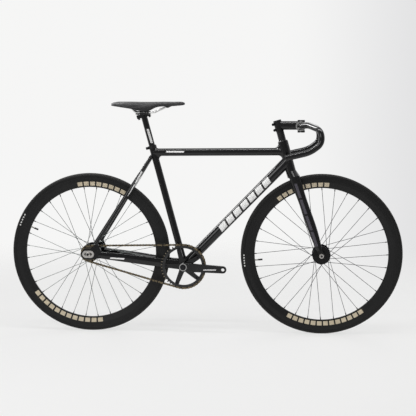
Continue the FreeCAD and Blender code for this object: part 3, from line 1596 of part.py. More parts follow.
def make_stem(name):
    """The steerer clamp, the level arm and the rear half of the bar clamp."""
    low = on_steerer(STEM_LOW)
    clamp = cylinder(f"{name}_clamp", S.stem_clamp_r, S.stem_clamp_height, low, STEER_AXIS)
    rise = UP * float(S.stem_arm_rise)
    ends = [(place + rise, ALONG, UP, S.stem_arm_half_height, S.stem_arm_half_width)
            for place in (STEM_MIDDLE, BAR_CENTRE)]
    arm = feature(f"{name}_arm", oval_loft(ends, 0))
    ring, ears = bar_clamp_parts(name)
    front = half_space(f"{name}_front", 1)
    rear_half = cut(f"{name}_rear_half", fuse(f"{name}_bar_clamp", ring, ears), front)
    trimmed_arm = cut(f"{name}_trimmed_arm", arm, half_space(f"{name}_arm_end", 1))
    lugs = []
    holes = []
    for i, place in enumerate(stem_rear_ears()):
        start = place - ACROSS * float(S.stem_rear_ear_half)
        lugs.append(cylinder(f"{name}_lug_{i}", S.stem_rear_ear_r, S.stem_rear_ear_half * 2, start, ACROSS))
        begin = start - ACROSS * float(S.overrun)
        deep = S.stem_rear_ear_half * 2 + S.overrun * 2
        holes.append(cylinder(f"{name}_lug_hole_{i}", S.stem_bolt_r, deep, begin, ACROSS))
    for i, place in enumerate(faceplate_bolt_places()):
        start = place + ALONG * float(S.overrun)
        deep = S.stem_ear_depth + S.overrun * 2
        holes.append(cylinder(f"{name}_bolt_hole_{i}", S.stem_bolt_r, deep, start, -ALONG))
    bore_base = low - STEER_AXIS * float(S.overrun)
    bore = cylinder(f"{name}_bore", S.steerer_r, S.stem_clamp_height + S.overrun * 2, bore_base, STEER_AXIS)
    back = Vector(-STEER_AXIS.z, 0, STEER_AXIS.x)
    slit_length = S.stem_rear_ear_place + S.stem_rear_ear_r + S.overrun
    slit = box(f"{name}_slit", slit_length, S.stem_split, S.stem_clamp_height + S.overrun * 2,
               STEM_MIDDLE + back * float(slit_length / 2), STEER_TURN)
    blank = fuse(f"{name}_blank", clamp, trimmed_arm, rear_half, *lugs)
    return node(cut(name, blank, bore, bar_bore(f"{name}_bar_bore"), slit, *holes), name)


def make_faceplate(name):
    """The front half of the bar clamp."""
    ring, ears = bar_clamp_parts(name)
    rear = half_space(f"{name}_rear", -1)
    holes = []
    for i, place in enumerate(faceplate_bolt_places()):
        start = place - ALONG * float(S.overrun)
        deep = S.stem_ear_depth + S.stem_split + S.overrun * 2
        holes.append(cylinder(f"{name}_hole_{i}", S.stem_bolt_r, deep, start, ALONG))
    blank = fuse(f"{name}_blank", ring, ears)
    return node(cut(name, blank, rear, bar_bore(f"{name}_bar_bore"), *holes), name)


def socket_bolt(head_base, way, grip):
    """One socket head bolt: the head stands on head_base and the shank runs along way."""
    head = Part.makeCylinder(float(S.stem_bolt_head_r), float(S.stem_bolt_head), head_base, way * -1)
    shank = Part.makeCylinder(float(S.stem_bolt_r), float(grip), head_base, way)
    deep = float(S.stem_bolt_head) / 2
    top = head_base - way * float(S.stem_bolt_head)
    socket = Part.makeCylinder(float(S.stem_bolt_socket_r), deep, top, way)
    return head.fuse(shank).removeSplitter().cut(socket)


def make_stem_bolts(name):
    solids = []
    for place in faceplate_bolt_places():
        head_base = place + ALONG * float(S.stem_ear_depth + S.stem_split / 2)
        solids.append(socket_bolt(head_base, ALONG * -1, S.stem_ear_depth * 2 + S.stem_split))
    for side, place in zip((RIGHT, LEFT), stem_rear_ears()):
        head_base = place + ACROSS * (side * float(S.stem_rear_ear_half))
        solids.append(socket_bolt(head_base, ACROSS * -side, S.stem_rear_ear_half * 2))
    return node(feature(name, Part.makeCompound(solids)), name)


def make_top_cap(name):
    base = on_steerer(STEM_TOP)
    disc = cylinder(f"{name}_disc", S.top_cap_r, S.top_cap_height, base, STEER_AXIS)
    below = on_steerer(STEM_TOP - S.overrun)
    hole = cylinder(f"{name}_hole", S.top_cap_bolt_r, S.top_cap_height + S.overrun * 2, below, STEER_AXIS)
    sunk = cylinder(f"{name}_sunk", S.top_cap_bolt_head_r, S.top_cap_height, base +
                    STEER_AXIS * float(S.top_cap_height / 2), STEER_AXIS)
    node(cut(name, disc, hole, sunk), name)
    head = cylinder(f"{name}_bolt_head", S.top_cap_bolt_head_r, S.top_cap_height / 2,
                    base + STEER_AXIS * float(S.top_cap_height / 2), STEER_AXIS)
    shank = cylinder(f"{name}_bolt_shank", S.top_cap_bolt_r, S.top_cap_bolt_length,
                     base + STEER_AXIS * float(S.top_cap_height / 2), -STEER_AXIS)
    return node(fuse(f"{name}_bolt", head, shank), f"{name}_bolt")


def build_fork():
    make_steerer("fork_steerer")
    make_crown("fork_crown")
    fork_end = make_fork_end("fork_end_right")
    side = doc.addObject("Part::Compound", "fork_side")
    side.Links = [make_blade("fork_blade_right", fork_end), fork_end]
    node(mirrored_pair("fork_blades", side), "fork_blades")
    make_headset_cover("headset_cover")
    make_spacers("headset_spacers")
    make_stem("stem")
    make_faceplate("stem_faceplate")
    make_stem_bolts("stem_bolts")
    make_top_cap("top_cap")


build_fork()


# Handlebar

def bar_points(side):
    """Corner points of one side of the bar, from the clamp out to the end of the drop."""
    y = side * float(S.bar_half_width)
    top = BAR_CENTRE
    crest = Vector(S.bar_crest_forward, side * float(S.bar_crest_y), S.bar_crest_rise) + top
    return [
        top,
        top + ACROSS * (side * float(S.bar_top_straight)),
        crest,
        Vector(top.x + float(S.bar_reach), y, top.z - float(S.bar_ramp_fall)),
        Vector(top.x + float(S.bar_reach), y, top.z - float(S.bar_hook_fall)),
        Vector(top.x + float(S.bar_sweep_forward), y, top.z - float(S.bar_sweep_fall)),
        Vector(top.x - float(S.bar_end_back), y, top.z - float(S.bar_end_fall)),
    ]


def bar_path(side):
    bends = [S.bar_shoulder_bend_r, S.bar_crest_bend_r, S.bar_hook_bend_r, S.bar_low_bend_r,
             S.bar_sweep_bend_r]
    return bent_path(bar_points(side), bends)


def bar_middle(inset):
    """The thick middle of the bar with a taper on each side."""
    half = float(S.bar_clamp_half)
    taper = float(S.bar_taper)
    thick = float(S.bar_clamp_r) - inset
    thin = float(S.bar_r) - inset
    base = BAR_CENTRE - ACROSS * half
    shapes = [Part.makeCylinder(thick, 2 * half, base, ACROSS)]
    for side in (RIGHT, LEFT):
        start = BAR_CENTRE + ACROSS * (side * half)
        shapes.append(Part.makeCone(thick, thin, taper, start, ACROSS * side))
    return shapes


def bar_solid(inset):
    sides = [swept(bar_path(side), float(S.bar_r) - inset) for side in (RIGHT, LEFT)]
    return sides[0].fuse([sides[1]] + bar_middle(inset)).removeSplitter()


def make_handlebar(name):
    wall = float(S.bar_wall)
    return node(feature(name, bar_solid(0).cut(bar_solid(wall))), name)


def make_plugs(name):
    solids = []
    for side in (RIGHT, LEFT):
        points = bar_points(side)
        end = points[-1]
        way = (points[-1] - points[-2]).normalize()
        head = Part.makeCylinder(float(S.bar_r), float(S.plug_head), end, way)
        stub = Part.makeCylinder(float(S.bar_r - S.bar_wall), float(S.plug_depth), end, way * -1)
        solids.append(head.fuse(stub).removeSplitter())
    return node(feature(name, Part.makeCompound(solids)), name)


make_handlebar("handlebar")
make_plugs("bar_end_plugs")


# Seatpost and rail clamp

RAIL_Z = BB.z + float(S.rail_height)
POST_TOP = on_seat_tube(S.post_top_height)
TAB_CENTRE = BB + SEAT_AXIS * (float(S.rail_height) / SEAT_AXIS.z)
CLAMP_CENTRE = TAB_CENTRE + ALONG * float(S.clamp_forward)
CLAMP_LOW = TAB_CENTRE - UP * float(S.clamp_low_height)


def clamp_bolt_line(side):
    """Top and foot of one clamp bolt, which stands before or behind the post and beside it."""
    back = Vector(-SEAT_AXIS.z, 0, SEAT_AXIS.x)
    low = POST_TOP - back * (side * float(S.clamp_bolt_place)) - SEAT_AXIS * float(S.post_head_height)
    rise = RAIL_Z + float(S.clamp_top_height) - low.z
    return low + SEAT_AXIS * (rise / SEAT_AXIS.z), low


def make_seatpost(name):
    """A tube with a cross head that carries the rail clamp and its two bolts."""
    base = on_seat_tube(S.post_top_height - S.post_length)
    rod = cylinder(f"{name}_rod", S.post_r, S.post_length, base, SEAT_AXIS)
    middle = POST_TOP - SEAT_AXIS * float(S.post_head_height / 2)
    head = box(f"{name}_head", S.post_head_half_length * 2, S.post_head_half_width * 2, S.post_head_height,
               middle, SEAT_TURN)
    bore_length = S.post_length - S.post_head_height * 2
    bore = cylinder(f"{name}_bore", S.post_r - S.post_wall, bore_length + S.overrun,
                    base - SEAT_AXIS * float(S.overrun), SEAT_AXIS)
    room = box(f"{name}_room", S.clamp_tab * 4, S.clamp_half_width * 4, S.clamp_low_height * 4,
               CLAMP_LOW + UP * float(S.clamp_low_height * 2))
    holes = [bolt_hole(f"{name}_bolt_hole_{i}", side) for i, side in enumerate((1, -1))]
    return node(cut(name, fuse(f"{name}_blank", rod, head), bore, room, *holes), name)


def bolt_hole(name, side):
    high, low = clamp_bolt_line(side)
    way = (high - low).normalize()
    length = span(low, high) + S.overrun * 2
    return cylinder(name, S.clamp_bolt_r, length, low - way * float(S.overrun), way)


def rail_grooves(name):
    half = S.clamp_half_length + S.overrun
    grooves = []
    for i, side in enumerate((RIGHT, LEFT)):
        start = CLAMP_CENTRE + ACROSS * (side * float(S.rail_half_gap)) - ALONG * float(half)
        grooves.append(cylinder(f"{name}_{i}", S.rail_r + S.slide_gap, half * 2, start, ALONG))
    return grooves


def make_clamp_half(name, height, way):
    """One half of the rail clamp: a cross bar with a groove for each rail and a tab for each bolt."""
    gap = S.clamp_split / 2
    middle = CLAMP_CENTRE + UP * (way * float((height + gap) / 2))
    tall = height - gap
    block = box(f"{name}_block", S.clamp_half_length * 2, S.clamp_half_width * 2, tall, middle)
    tab_middle = Vector(TAB_CENTRE.x, 0, middle.z)
    tab = box(f"{name}_tab", S.clamp_tab * 2, S.clamp_tab_half_width * 2, tall, tab_middle)
    holes = [bolt_hole(f"{name}_bolt_hole_{i}", side) for i, side in enumerate((1, -1))]
    blank = fuse(f"{name}_blank", block, tab)
    return node(cut(name, blank, *rail_grooves(f"{name}_groove"), *holes), name)


def make_clamp_bolts(name):
    solids = []
    for side in (1, -1):
        high, low = clamp_bolt_line(side)
        way = (high - low).normalize()
        shank = Part.makeCylinder(float(S.clamp_bolt_r), (high - low).Length, low, way)
        head = Part.makeCylinder(float(S.clamp_bolt_head_r), float(S.clamp_bolt_head), low, way * -1)
        solids.append(shank.fuse(head).removeSplitter())
    return node(feature(name, Part.makeCompound(solids)), name)


make_seatpost("seatpost")
make_clamp_half("rail_clamp_lower", S.clamp_low_height, -1)
make_clamp_half("rail_clamp_upper", S.clamp_top_height, 1)
make_clamp_bolts("rail_clamp_bolts")


# Saddle

SADDLE_REAR = CLAMP_CENTRE.x - float(S.saddle_rear)


def saddle_section(i, inset, skirt):
    """One crowned cross section of the saddle, set in by inset, its edge let down by skirt."""
    x = SADDLE_REAR + float(S.saddle_length) * SADDLE_PLACE_SHARES[i]
    half = float(S.saddle_half_width) * SADDLE_WIDTH_SHARES[i] - inset
    top = RAIL_Z + float(S.saddle_height) * SADDLE_TOP_SHARES[i] - inset
    edge = RAIL_Z + float(S.saddle_height) * SADDLE_EDGE_SHARES[i] - skirt
    points = []
    for wide, high in zip(ARCH_WIDTH_SHARES, ARCH_HEIGHT_SHARES):
        points.append(Vector(x, -half * wide, edge + (top - edge) * high))
    points += [Vector(p.x, -p.y, p.z) for p in reversed(points[:-1])]
    arch = Part.BSplineCurve()
    arch.interpolate(points)
    return Part.Wire([arch.toShape(), Part.makeLine(points[-1], points[0])])


def saddle_loft(inset, skirt, trim):
    places = range(trim, len(SADDLE_PLACE_SHARES) - trim)
    return Part.makeLoft([saddle_section(i, inset, skirt) for i in places], True, False)


def rail_path(side):
    straight = float(S.rail_straight_half)
    low = CLAMP_CENTRE + ACROSS * (side * float(S.rail_half_gap))
    rear = Vector(-straight - float(S.rail_rear_run), 0, float(S.rail_rear_rise))
    front = Vector(straight + float(S.rail_front_run), 0, float(S.rail_front_rise))
    rear_y = side * (float(S.rail_rear_half_gap) - float(S.rail_half_gap))
    front_y = side * (float(S.rail_front_half_gap) - float(S.rail_half_gap))
    points = [
        low + rear + ACROSS * rear_y,
        low - ALONG * straight,
        low + ALONG * straight,
        low + front + ACROSS * front_y,
    ]
    return bent_path(points, [S.rail_bend_r, S.rail_bend_r])


def rail_solids():
    return [swept(rail_path(side), S.rail_r) for side in (RIGHT, LEFT)]


def rail_sockets(under):
    """Round bosses under the shell that hold the ends of the rails."""
    sockets = []
    for side in (RIGHT, LEFT):
        edges = rail_path(side).Edges
        ends = ((edges[0].Vertexes[0].Point, edges[0].Vertexes[-1].Point),
                (edges[-1].Vertexes[-1].Point, edges[-1].Vertexes[0].Point))
        for end, before in ends:
            way = (end - before).normalize()
            base = end - way * float(S.rail_socket_depth)
            length = float(S.rail_socket_depth * 4)
            sockets.append(Part.makeCylinder(float(S.rail_socket_r), length, base, way).common(under))
    return sockets


def build_saddle():
    pad = float(S.saddle_pad)
    lip = float(S.overrun)
    whole = saddle_loft(0, 0, 0)
    node(feature("saddle_cover", whole.cut(saddle_loft(pad, lip, 2))), "saddle_cover")
    outer = pad + float(S.saddle_shell_gap)
    under = saddle_loft(outer + float(S.saddle_shell_wall), lip * 2, 2)
    shell = saddle_loft(outer, lip, 2).cut(under).common(whole)
    rails = rail_solids()
    shell = shell.fuse(rail_sockets(under)).cut(Part.makeCompound(rails))
    node(feature("saddle_shell", shell), "saddle_shell")
    node(feature("saddle_rails", Part.makeCompound(rails)), "saddle_rails")


build_saddle()


# Check and write the parts

def check_document():
    doc.recompute()
    for obj in doc.Objects:
        if {"Invalid", "Error"} & set(obj.State):
            raise RuntimeError(f"{obj.Name} did not build: {obj.State}")
    for obj in NODES:
        if obj.Shape.isNull() or not obj.Shape.isValid() or not obj.Shape.Solids:
            raise RuntimeError(f"{obj.Label} has no valid solid")


def write_parts():
    os.makedirs("parts", exist_ok=True)
    for obj in NODES:
        obj.Shape.exportStep(f"parts/{obj.Label}.step")
        print(f"{obj.Label}: {len(obj.Shape.Solids)} solids, {obj.Shape.Volume:.0f} mm3")


check_document()
write_parts()
print(f"{len(NODES)} nodes, chain centres {CENTRES:.2f} mm apart")
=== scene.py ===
# %% [markdown]
# # A fixed gear bike, dressed for its picture
# The bike arrives as sixty finished solids that already sit in their places and turn on their joints.
# This lesson gives each of them the finish of the real thing, files the frame's welds smooth, swells the
# saddle from its plain solid, and sets up the light and the camera. Nothing that arrives is moved or
# reshaped.

# %% Load the bike
import math
import bpy
from mathutils import Matrix, Vector


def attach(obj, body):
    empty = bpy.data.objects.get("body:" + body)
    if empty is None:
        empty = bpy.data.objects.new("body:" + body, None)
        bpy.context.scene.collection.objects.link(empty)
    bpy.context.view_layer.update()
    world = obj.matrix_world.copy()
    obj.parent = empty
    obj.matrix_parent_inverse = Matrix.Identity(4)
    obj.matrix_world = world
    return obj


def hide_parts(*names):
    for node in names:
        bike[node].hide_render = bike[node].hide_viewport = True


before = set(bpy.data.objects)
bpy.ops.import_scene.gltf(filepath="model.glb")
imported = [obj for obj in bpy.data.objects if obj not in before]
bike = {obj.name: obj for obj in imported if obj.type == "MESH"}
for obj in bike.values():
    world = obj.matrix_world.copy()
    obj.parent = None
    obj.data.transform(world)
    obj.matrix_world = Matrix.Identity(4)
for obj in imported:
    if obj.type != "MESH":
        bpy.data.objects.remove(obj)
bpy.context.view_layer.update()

# %% [markdown]
# ## Camera
# The picture was taken from the drive side, ahead of the bottom bracket, from saddle height and over four
# metres away, so the rear wheel is barely smaller than the front one. The place and the turns were solved
# from the wheel rims and the frame joints; a long lens with no shift gives the same frame.

# %% Set the camera
eye = Vector((0.3472, -4.2010, 0.9532))
turn_left, tip_down, lean = 0.07959, 0.10158, -0.00160
picture_size, focal_pixels, sensor = 416, 1017.57, 36.0
ahead = Vector((-math.sin(turn_left) * math.cos(tip_down),
                math.cos(turn_left) * math.cos(tip_down), -math.sin(tip_down)))
level = Vector((math.cos(turn_left), math.sin(turn_left), 0.0))
upright = level.cross(ahead)
side = math.cos(lean) * level + math.sin(lean) * upright
top = math.cos(lean) * upright - math.sin(lean) * level
lens = bpy.data.cameras.new("picture_camera")
lens.sensor_width = sensor
lens.lens = focal_pixels / picture_size * sensor
camera = bpy.data.objects.new("picture_camera", lens)
bpy.context.scene.collection.objects.link(camera)
camera.matrix_world = Matrix.Translation(eye) @ Matrix((side, top, -ahead)).transposed().to_4x4()
bpy.context.scene.camera = camera
print("camera", round(lens.lens, 2), "mm, looking along", [round(n, 3) for n in ahead])

# %% [markdown]
# ## A socket that takes part in sums
# A finish is a small calculation that runs at every point of a surface. Wiring it by hand takes dozens of
# lines, so one class wraps a socket: adding or multiplying two of them adds the Math node and its links.
# Its node method makes any node from its type, its settings, and the values or links of its sockets, and
# math_node is the short way to a Math node, also to one that has no sign in Python, such as a maximum.

# %% Wrap a socket
class Wire:
    def __init__(self, tree, socket):
        self.tree = tree
        self.socket = socket

    def node(self, kind, settings, sockets, out=0):
        made = self.tree.nodes.new("ShaderNode" + kind)
        for name, value in settings.items():
            setattr(made, name, value)
        for key, value in sockets.items():
            if isinstance(value, Wire):
                self.tree.links.new(value.socket, made.inputs[key])
            else:
                made.inputs[key].default_value = value
        return Wire(self.tree, made.outputs[out])

    def math_node(self, operation, first, second=0.0):
        return self.node("Math", {"operation": operation}, {0: first, 1: second})

    def __add__(self, other):
        return self.math_node("ADD", self, other)

    def __sub__(self, other):
        return self.math_node("SUBTRACT", self, other)

    def __rsub__(self, other):
        return self.math_node("SUBTRACT", other, self)

    def __mul__(self, other):
        return self.math_node("MULTIPLY", self, other)

    def __truediv__(self, other):
        return self.math_node("DIVIDE", self, other)

    __radd__ = __add__
    __rmul__ = __mul__


print("sockets can be added, taken away, multiplied and divided")

# %% [markdown]
# ## Words for a finish
# All finishes share a few ideas: a noise, a mask that eases from nothing to full, a mix of two colours, and
# shallow dents. Each is one line once it has a name. Colours are written as they look on a screen, from 0
# to 255, and turned into light values. Every pattern reads the place in metres, so its scale is real. A
# word that only some finishes need comes later, with the first of them.

# %% Start a finish and lay it on
def shade(red, green, blue):
    def to_light(level):
        part = level / 255.0
        return part / 12.92 if part <= 0.04045 else ((part + 0.055) / 1.055) ** 2.4
    return (to_light(red), to_light(green), to_light(blue), 1.0)


def new_finish(name):
    material = bpy.data.materials.new(name)
    material.use_nodes = True
    tree = material.node_tree
    return material, Wire(tree, tree.nodes.new("ShaderNodeTexCoord").outputs["Object"])


def lay_finish(material, looks):
    shader = material.node_tree.nodes["Principled BSDF"]
    for name, value in looks.items():
        if isinstance(value, Wire):
            material.node_tree.links.new(value.socket, shader.inputs[name])
        else:
            shader.inputs[name].default_value = value
    return material


def dress(material, *names):
    for name in names:
        for slot in bike[name].material_slots:
            slot.material = material
        if not bike[name].material_slots:
            bike[name].data.materials.append(material)
    print(material.name, "on", ", ".join(names))


print("mid grey on a screen is", round(shade(128, 128, 128)[0], 3), "of full light")

# %% Name the shared patterns
def along(place, axis):
    return place.node("SeparateXYZ", {}, {0: place}, "XYZ".index(axis))


def stretched(place, scales):
    return place.node("Mapping", {}, {"Vector": place, "Scale": scales})


def speckle(place, scale, detail=2.0):
    return place.node("TexNoise", {}, {"Vector": place, "Scale": scale, "Detail": detail})


def ease(value, low, high):
    return value.node("MapRange", {"interpolation_type": "SMOOTHSTEP"},
                      {"Value": value, "From Min": low, "From Max": high})


def between(value, low, high, soft):
    return ease(value, low - soft, low + soft) * (1.0 - ease(value, high - soft, high + soft))


def tint(mask, first, second):
    return mask.node("Mix", {"data_type": "RGBA"}, {0: mask, 6: first, 7: second}, 2)


def dents(height, strength, depth):
    return height.node("Bump", {}, {"Height": height, "Strength": strength, "Distance": depth})


print("patterns named")

# %% [markdown]
# ## Studio
# A bike pictured on a white sweep under soft lamps has thin bright lines along the tops of its tubes. A
# long strip lamp overhead draws those lines, a broad lamp fills from the front, and a third lifts the rear.
# Two gleams are lamps that only reflections see: they give gloss its bright lines and light nothing else,
# as a strip of bright card would. The pale backdrop is the world itself, seen by the camera and by
# reflections, so it costs the bike no extra light. Reflections find the studio dimmer in front of the bike
# than behind it, as in any studio, which keeps black paint black. The floor is pale, keeps the shadow, and
# fades out before its edge shows.

# %% Light the studio
def hang_lamp(name, place, target, size, power):
    light = bpy.data.lights.new(name, "AREA")
    light.shape = "RECTANGLE"
    light.size, light.size_y = size
    light.energy = power
    lamp = bpy.data.objects.new(name, light)
    lamp.location = place
    lamp.rotation_euler = (Vector(target) - Vector(place)).to_track_quat("-Z", "Y").to_euler()
    bpy.context.scene.collection.objects.link(lamp)
    return lamp


hang_lamp("strip_lamp", (0.0, -0.45, 2.3), (0.0, 0.0, 0.6), (2.6, 0.06), 16.0)
hang_lamp("front_fill", (-1.6, -2.9, 1.9), (0.0, 0.0, 0.5), (1.6, 1.6), 27.0)
hang_lamp("rear_lift", (1.2, 2.6, 2.2), (0.0, 0.0, 0.5), (1.8, 1.2), 14.0)
gleam_over = hang_lamp("gleam_over", (0.0, -0.60, 2.25), (0.0, 0.0, 0.6), (2.8, 0.30), 12.0)
gleam_behind = hang_lamp("gleam_behind", (-1.25, 0.60, 2.10), (0.15, 0.0, 0.52), (0.25, 1.8), 34.0)
for gleam in (gleam_over, gleam_behind):
    gleam.visible_diffuse = False
print("three lamps and two gleams hung")

# %% Paint the backdrop
ambient_strength, front_strength = 0.45, 0.38
sweep_left, sweep_right = (0.92, 0.92, 0.915, 1.0), (0.74, 0.74, 0.75, 1.0)


def ray(tree, kind):
    return Wire(tree, tree.nodes.new("ShaderNodeLightPath").outputs[kind])


def seen_rays(tree):
    seen = ray(tree, "Is Camera Ray")
    for kind in ("Is Glossy Ray", "Is Transmission Ray"):
        seen = seen.math_node("MAXIMUM", seen, ray(tree, kind))
    return seen


bpy.context.scene.view_settings.view_transform = "Standard"
world = bpy.data.worlds.new("white_sweep")
world.use_nodes = True
bpy.context.scene.world = world
sky = world.node_tree
facing = Wire(sky, sky.nodes.new("ShaderNodeTexCoord").outputs["Generated"])
sweep = tint(ease(along(facing, "X"), -0.02, 0.17), sweep_left, sweep_right)
behind = ease(along(facing, "Y"), -0.45, 0.15)
strength = front_strength + behind * (1.0 - front_strength)
strength = strength.math_node("MAXIMUM", strength, ray(sky, "Is Camera Ray"))
ambient = facing.node("Background", {}, {"Color": (1.0, 1.0, 1.0, 1.0), "Strength": ambient_strength})
backdrop = facing.node("Background", {}, {"Color": sweep, "Strength": strength})
mixed = facing.node("MixShader", {}, {0: seen_rays(sky), 1: ambient, 2: backdrop})
sky.links.new(mixed.socket, sky.nodes["World Output"].inputs["Surface"])
print("backdrop painted, with", ambient_strength, "of full light on the bike")

# %% Lay the floor
floor_radius, fade_from, fade_to, glow_share = 4.0, 0.9, 3.2, 0.62
bpy.ops.object.select_all(action="DESELECT")
bpy.ops.mesh.primitive_circle_add(vertices=96, radius=floor_radius, fill_type="NGON", location=(0.0, 0.0, 0.0))
floor = bpy.context.active_object
floor.name = "studio_floor"
pale, spot = new_finish("pale_floor")
tree = pale.node_tree
reach = spot.node("VectorMath", {"operation": "LENGTH"}, {0: spot}, 1)
matt = spot.node("BsdfDiffuse", {}, {"Color": (0.93, 0.93, 0.93, 1.0)})
glow = spot.node("Emission", {}, {"Color": (0.93, 0.93, 0.925, 1.0), "Strength": 1.0})
lit = spot.node("MixShader", {}, {0: seen_rays(tree) * glow_share, 1: matt, 2: glow})
clear = spot.node("BsdfTransparent", {}, {})
laid = spot.node("MixShader", {}, {0: ease(reach, fade_from, fade_to), 1: lit, 2: clear})
tree.links.new(laid.socket, tree.nodes["Material Output"].inputs["Surface"])
floor.data.materials.append(pale)
print("floor laid, fading out", fade_to, "m away")

# %% [markdown]
# ## Gloss paint
# The frame and fork wear thick black gloss over metal tube. Sprayed paint is never quite flat: it dries with
# a faint orange peel a couple of millimetres across, and a little dust and handling haze breaks its shine.
# A clear coat could be a second layer, but one smooth layer with low reflection keeps the tubes black
# under a white backdrop, as they look in the picture. The paint can carry a row of plain bars: the distance
# along a line between two points makes the bars, and the distance from that line makes their height.

# %% Mask a row of bars
def side_offset(place, point):
    return along(place, "X") - point[0], along(place, "Z") - point[1]


def blocks(run, start, finish, count, gap_share):
    step = (finish - start) / count
    phase = run.math_node("FRACT", (run - start) / step)
    return between(run, start, finish, step * 0.01) * between(phase, gap_share / 2, 1 - gap_share / 2, 0.02)


def bars(place, foot, head, half, count, gap_share, slant):
    length = math.hypot(head[0] - foot[0], head[1] - foot[1])
    way = ((head[0] - foot[0]) / length, (head[1] - foot[1]) / length)
    over, above = side_offset(place, foot)
    run = over * way[0] + above * way[1]
    across = above * way[0] - over * way[1]
    return blocks(run - across * slant, 0.0, length, count, gap_share) * between(across, -half, half, 0.0004)


print("rows of bars can be masked")

# %% Mix the gloss paint
def gloss_paint(name, row=None, film=(250, 250, 249)):
    material, place = new_finish(name)
    cloud = speckle(place, 11.0, 4.0)
    peel = speckle(place, 430.0, 1.0)
    haze = ease(speckle(stretched(place, (60.0, 60.0, 24.0)), 1.0, 5.0), 0.52, 0.75)
    dust = ease(speckle(place, 2100.0, 0.0), 0.70, 0.80)
    colour = tint(cloud, shade(7, 7, 8), shade(14, 14, 16))
    colour = tint(dust * 0.22, colour, shade(110, 110, 108))
    rough = 0.07 + haze * 0.03 + dust * 0.15
    if row:
        mask = bars(place, *row)
        worn_film = shade(*(level * 0.98 for level in film))
        colour = tint(mask, colour, tint(cloud, worn_film, shade(*film)))
        rough = rough + mask * 0.35
        peel = peel * (1.0 - mask)
    return lay_finish(material, {"Base Color": colour, "Roughness": rough, "Specular IOR Level": 0.42,
                                 "Normal": dents(peel, 0.05, 0.00012)})


black_paint = gloss_paint("gloss_black_paint")
dress(black_paint, "head_tube", "seat_tube", "bottom_bracket_shell", "dropouts", "fork_crown", "fork_steerer")

# %% [markdown]
# ## Smoothed welds
# The tubes are welded, and the welds are filed smooth, so that one tube flows into the next through a hollow
# of about a finger's roundness. The solids meet at plain corners. A bevel would need clean edges where
# round tubes cross, so the corner is closed as a sculptor would with putty: copies of the tubes, filled in
# and cut short round the joint, are joined, swollen by the wanted roundness, made one skin, and shrunk back
# by the same. Flat and round places come back to where they were, a hair under the tube, and only the
# inner corners stay filled. A box then trims the piece round the joint.

# %% Cut short, filled copies of the tubes
merge_distance = 0.00001


def open_copy(name, node):
    bpy.ops.object.select_all(action="DESELECT")
    copy = bpy.data.objects.new(name, bike[node].data.copy())
    bpy.context.scene.collection.objects.link(copy)
    copy.select_set(True)
    bpy.context.view_layer.objects.active = copy
    bpy.ops.mesh.customdata_custom_splitnormals_clear()
    bpy.ops.object.mode_set(mode="EDIT")
    bpy.ops.mesh.select_all(action="SELECT")
    bpy.ops.mesh.remove_doubles(threshold=merge_distance)
    return copy


def trim(centre, half):
    for axis in range(3):
        for way in (-1.0, 1.0):
            outward = Vector((0.0, 0.0, 0.0))
            outward[axis] = way
            bpy.ops.mesh.select_all(action="SELECT")
            bpy.ops.mesh.bisect(plane_co=Vector(centre) + outward * half, plane_no=outward,
                                use_fill=True, clear_outer=True)
    bpy.ops.mesh.select_all(action="SELECT")
    bpy.ops.mesh.normals_make_consistent(inside=False)


def short_copy(tube, centre, half):
    copy = open_copy("short_" + tube, tube)
    bpy.ops.mesh.select_all(action="SELECT")
    bpy.ops.mesh.convex_hull()
    trim(centre, half)
    bpy.ops.object.mode_set(mode="OBJECT")
    return copy


print("copies merge points closer than", merge_distance * 1000, "mm")

# %% File the welds
weld_skin, weld_voxel = 0.0004, 0.0016


def apply_steps(piece, steps):
    for kind, settings in steps:
        shaper = piece.modifiers.new(kind.lower(), kind)
        for key, value in settings.items():
            setattr(shaper, key, value)
        bpy.ops.object.modifier_apply(modifier=shaper.name)


def file_weld(name, tubes, centre, reach, roundness):
    copies = [short_copy(tube, centre, reach + 2.0 * roundness) for tube in tubes]
    for copy in copies:
        copy.select_set(True)
    bpy.context.view_layer.objects.active = copies[0]
    bpy.ops.object.join()
    weld = bpy.context.active_object
    weld.name = name
    one_skin = ("REMESH", {"mode": "VOXEL", "voxel_size": weld_voxel})
    apply_steps(weld, [one_skin, ("DISPLACE", {"strength": roundness, "mid_level": 0.0}),
                       one_skin, ("SMOOTH", {"iterations": 6}),
                       ("DISPLACE", {"strength": -roundness - weld_skin, "mid_level": 0.0}),
                       ("SMOOTH", {"iterations": 3})])
    bpy.ops.object.mode_set(mode="EDIT")
    trim(centre, reach)
    bpy.ops.object.mode_set(mode="OBJECT")
    bpy.ops.object.shade_smooth()
    weld.data.materials.clear()
    weld.data.materials.append(black_paint)
    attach(weld, "frame")
    print(name, "has", len(weld.data.polygons), "faces")


file_weld("head_weld", ("head_tube", "top_tube", "down_tube"), (0.311, 0.0, 0.735), 0.052, 0.012)
file_weld("seat_weld", ("seat_tube", "top_tube"), (-0.205, 0.0, 0.752), 0.034, 0.010)
file_weld("foot_weld", ("bottom_bracket_shell", "seat_tube", "down_tube"), (-0.077, 0.0, 0.310), 0.045, 0.010)

# %% [markdown]
# ## Plain bars on the tubes
# The big down tube carries a bold white stripe, broken into equal slanted bars. The top tube and the stays
# have a slim pale bar or two each, and the fork blades four dim grey ones. On a real frame they would be
# cut film under lacquer. Here each row is a mask in the paint. It is read from the side, so it shows on
# both sides of a tube.

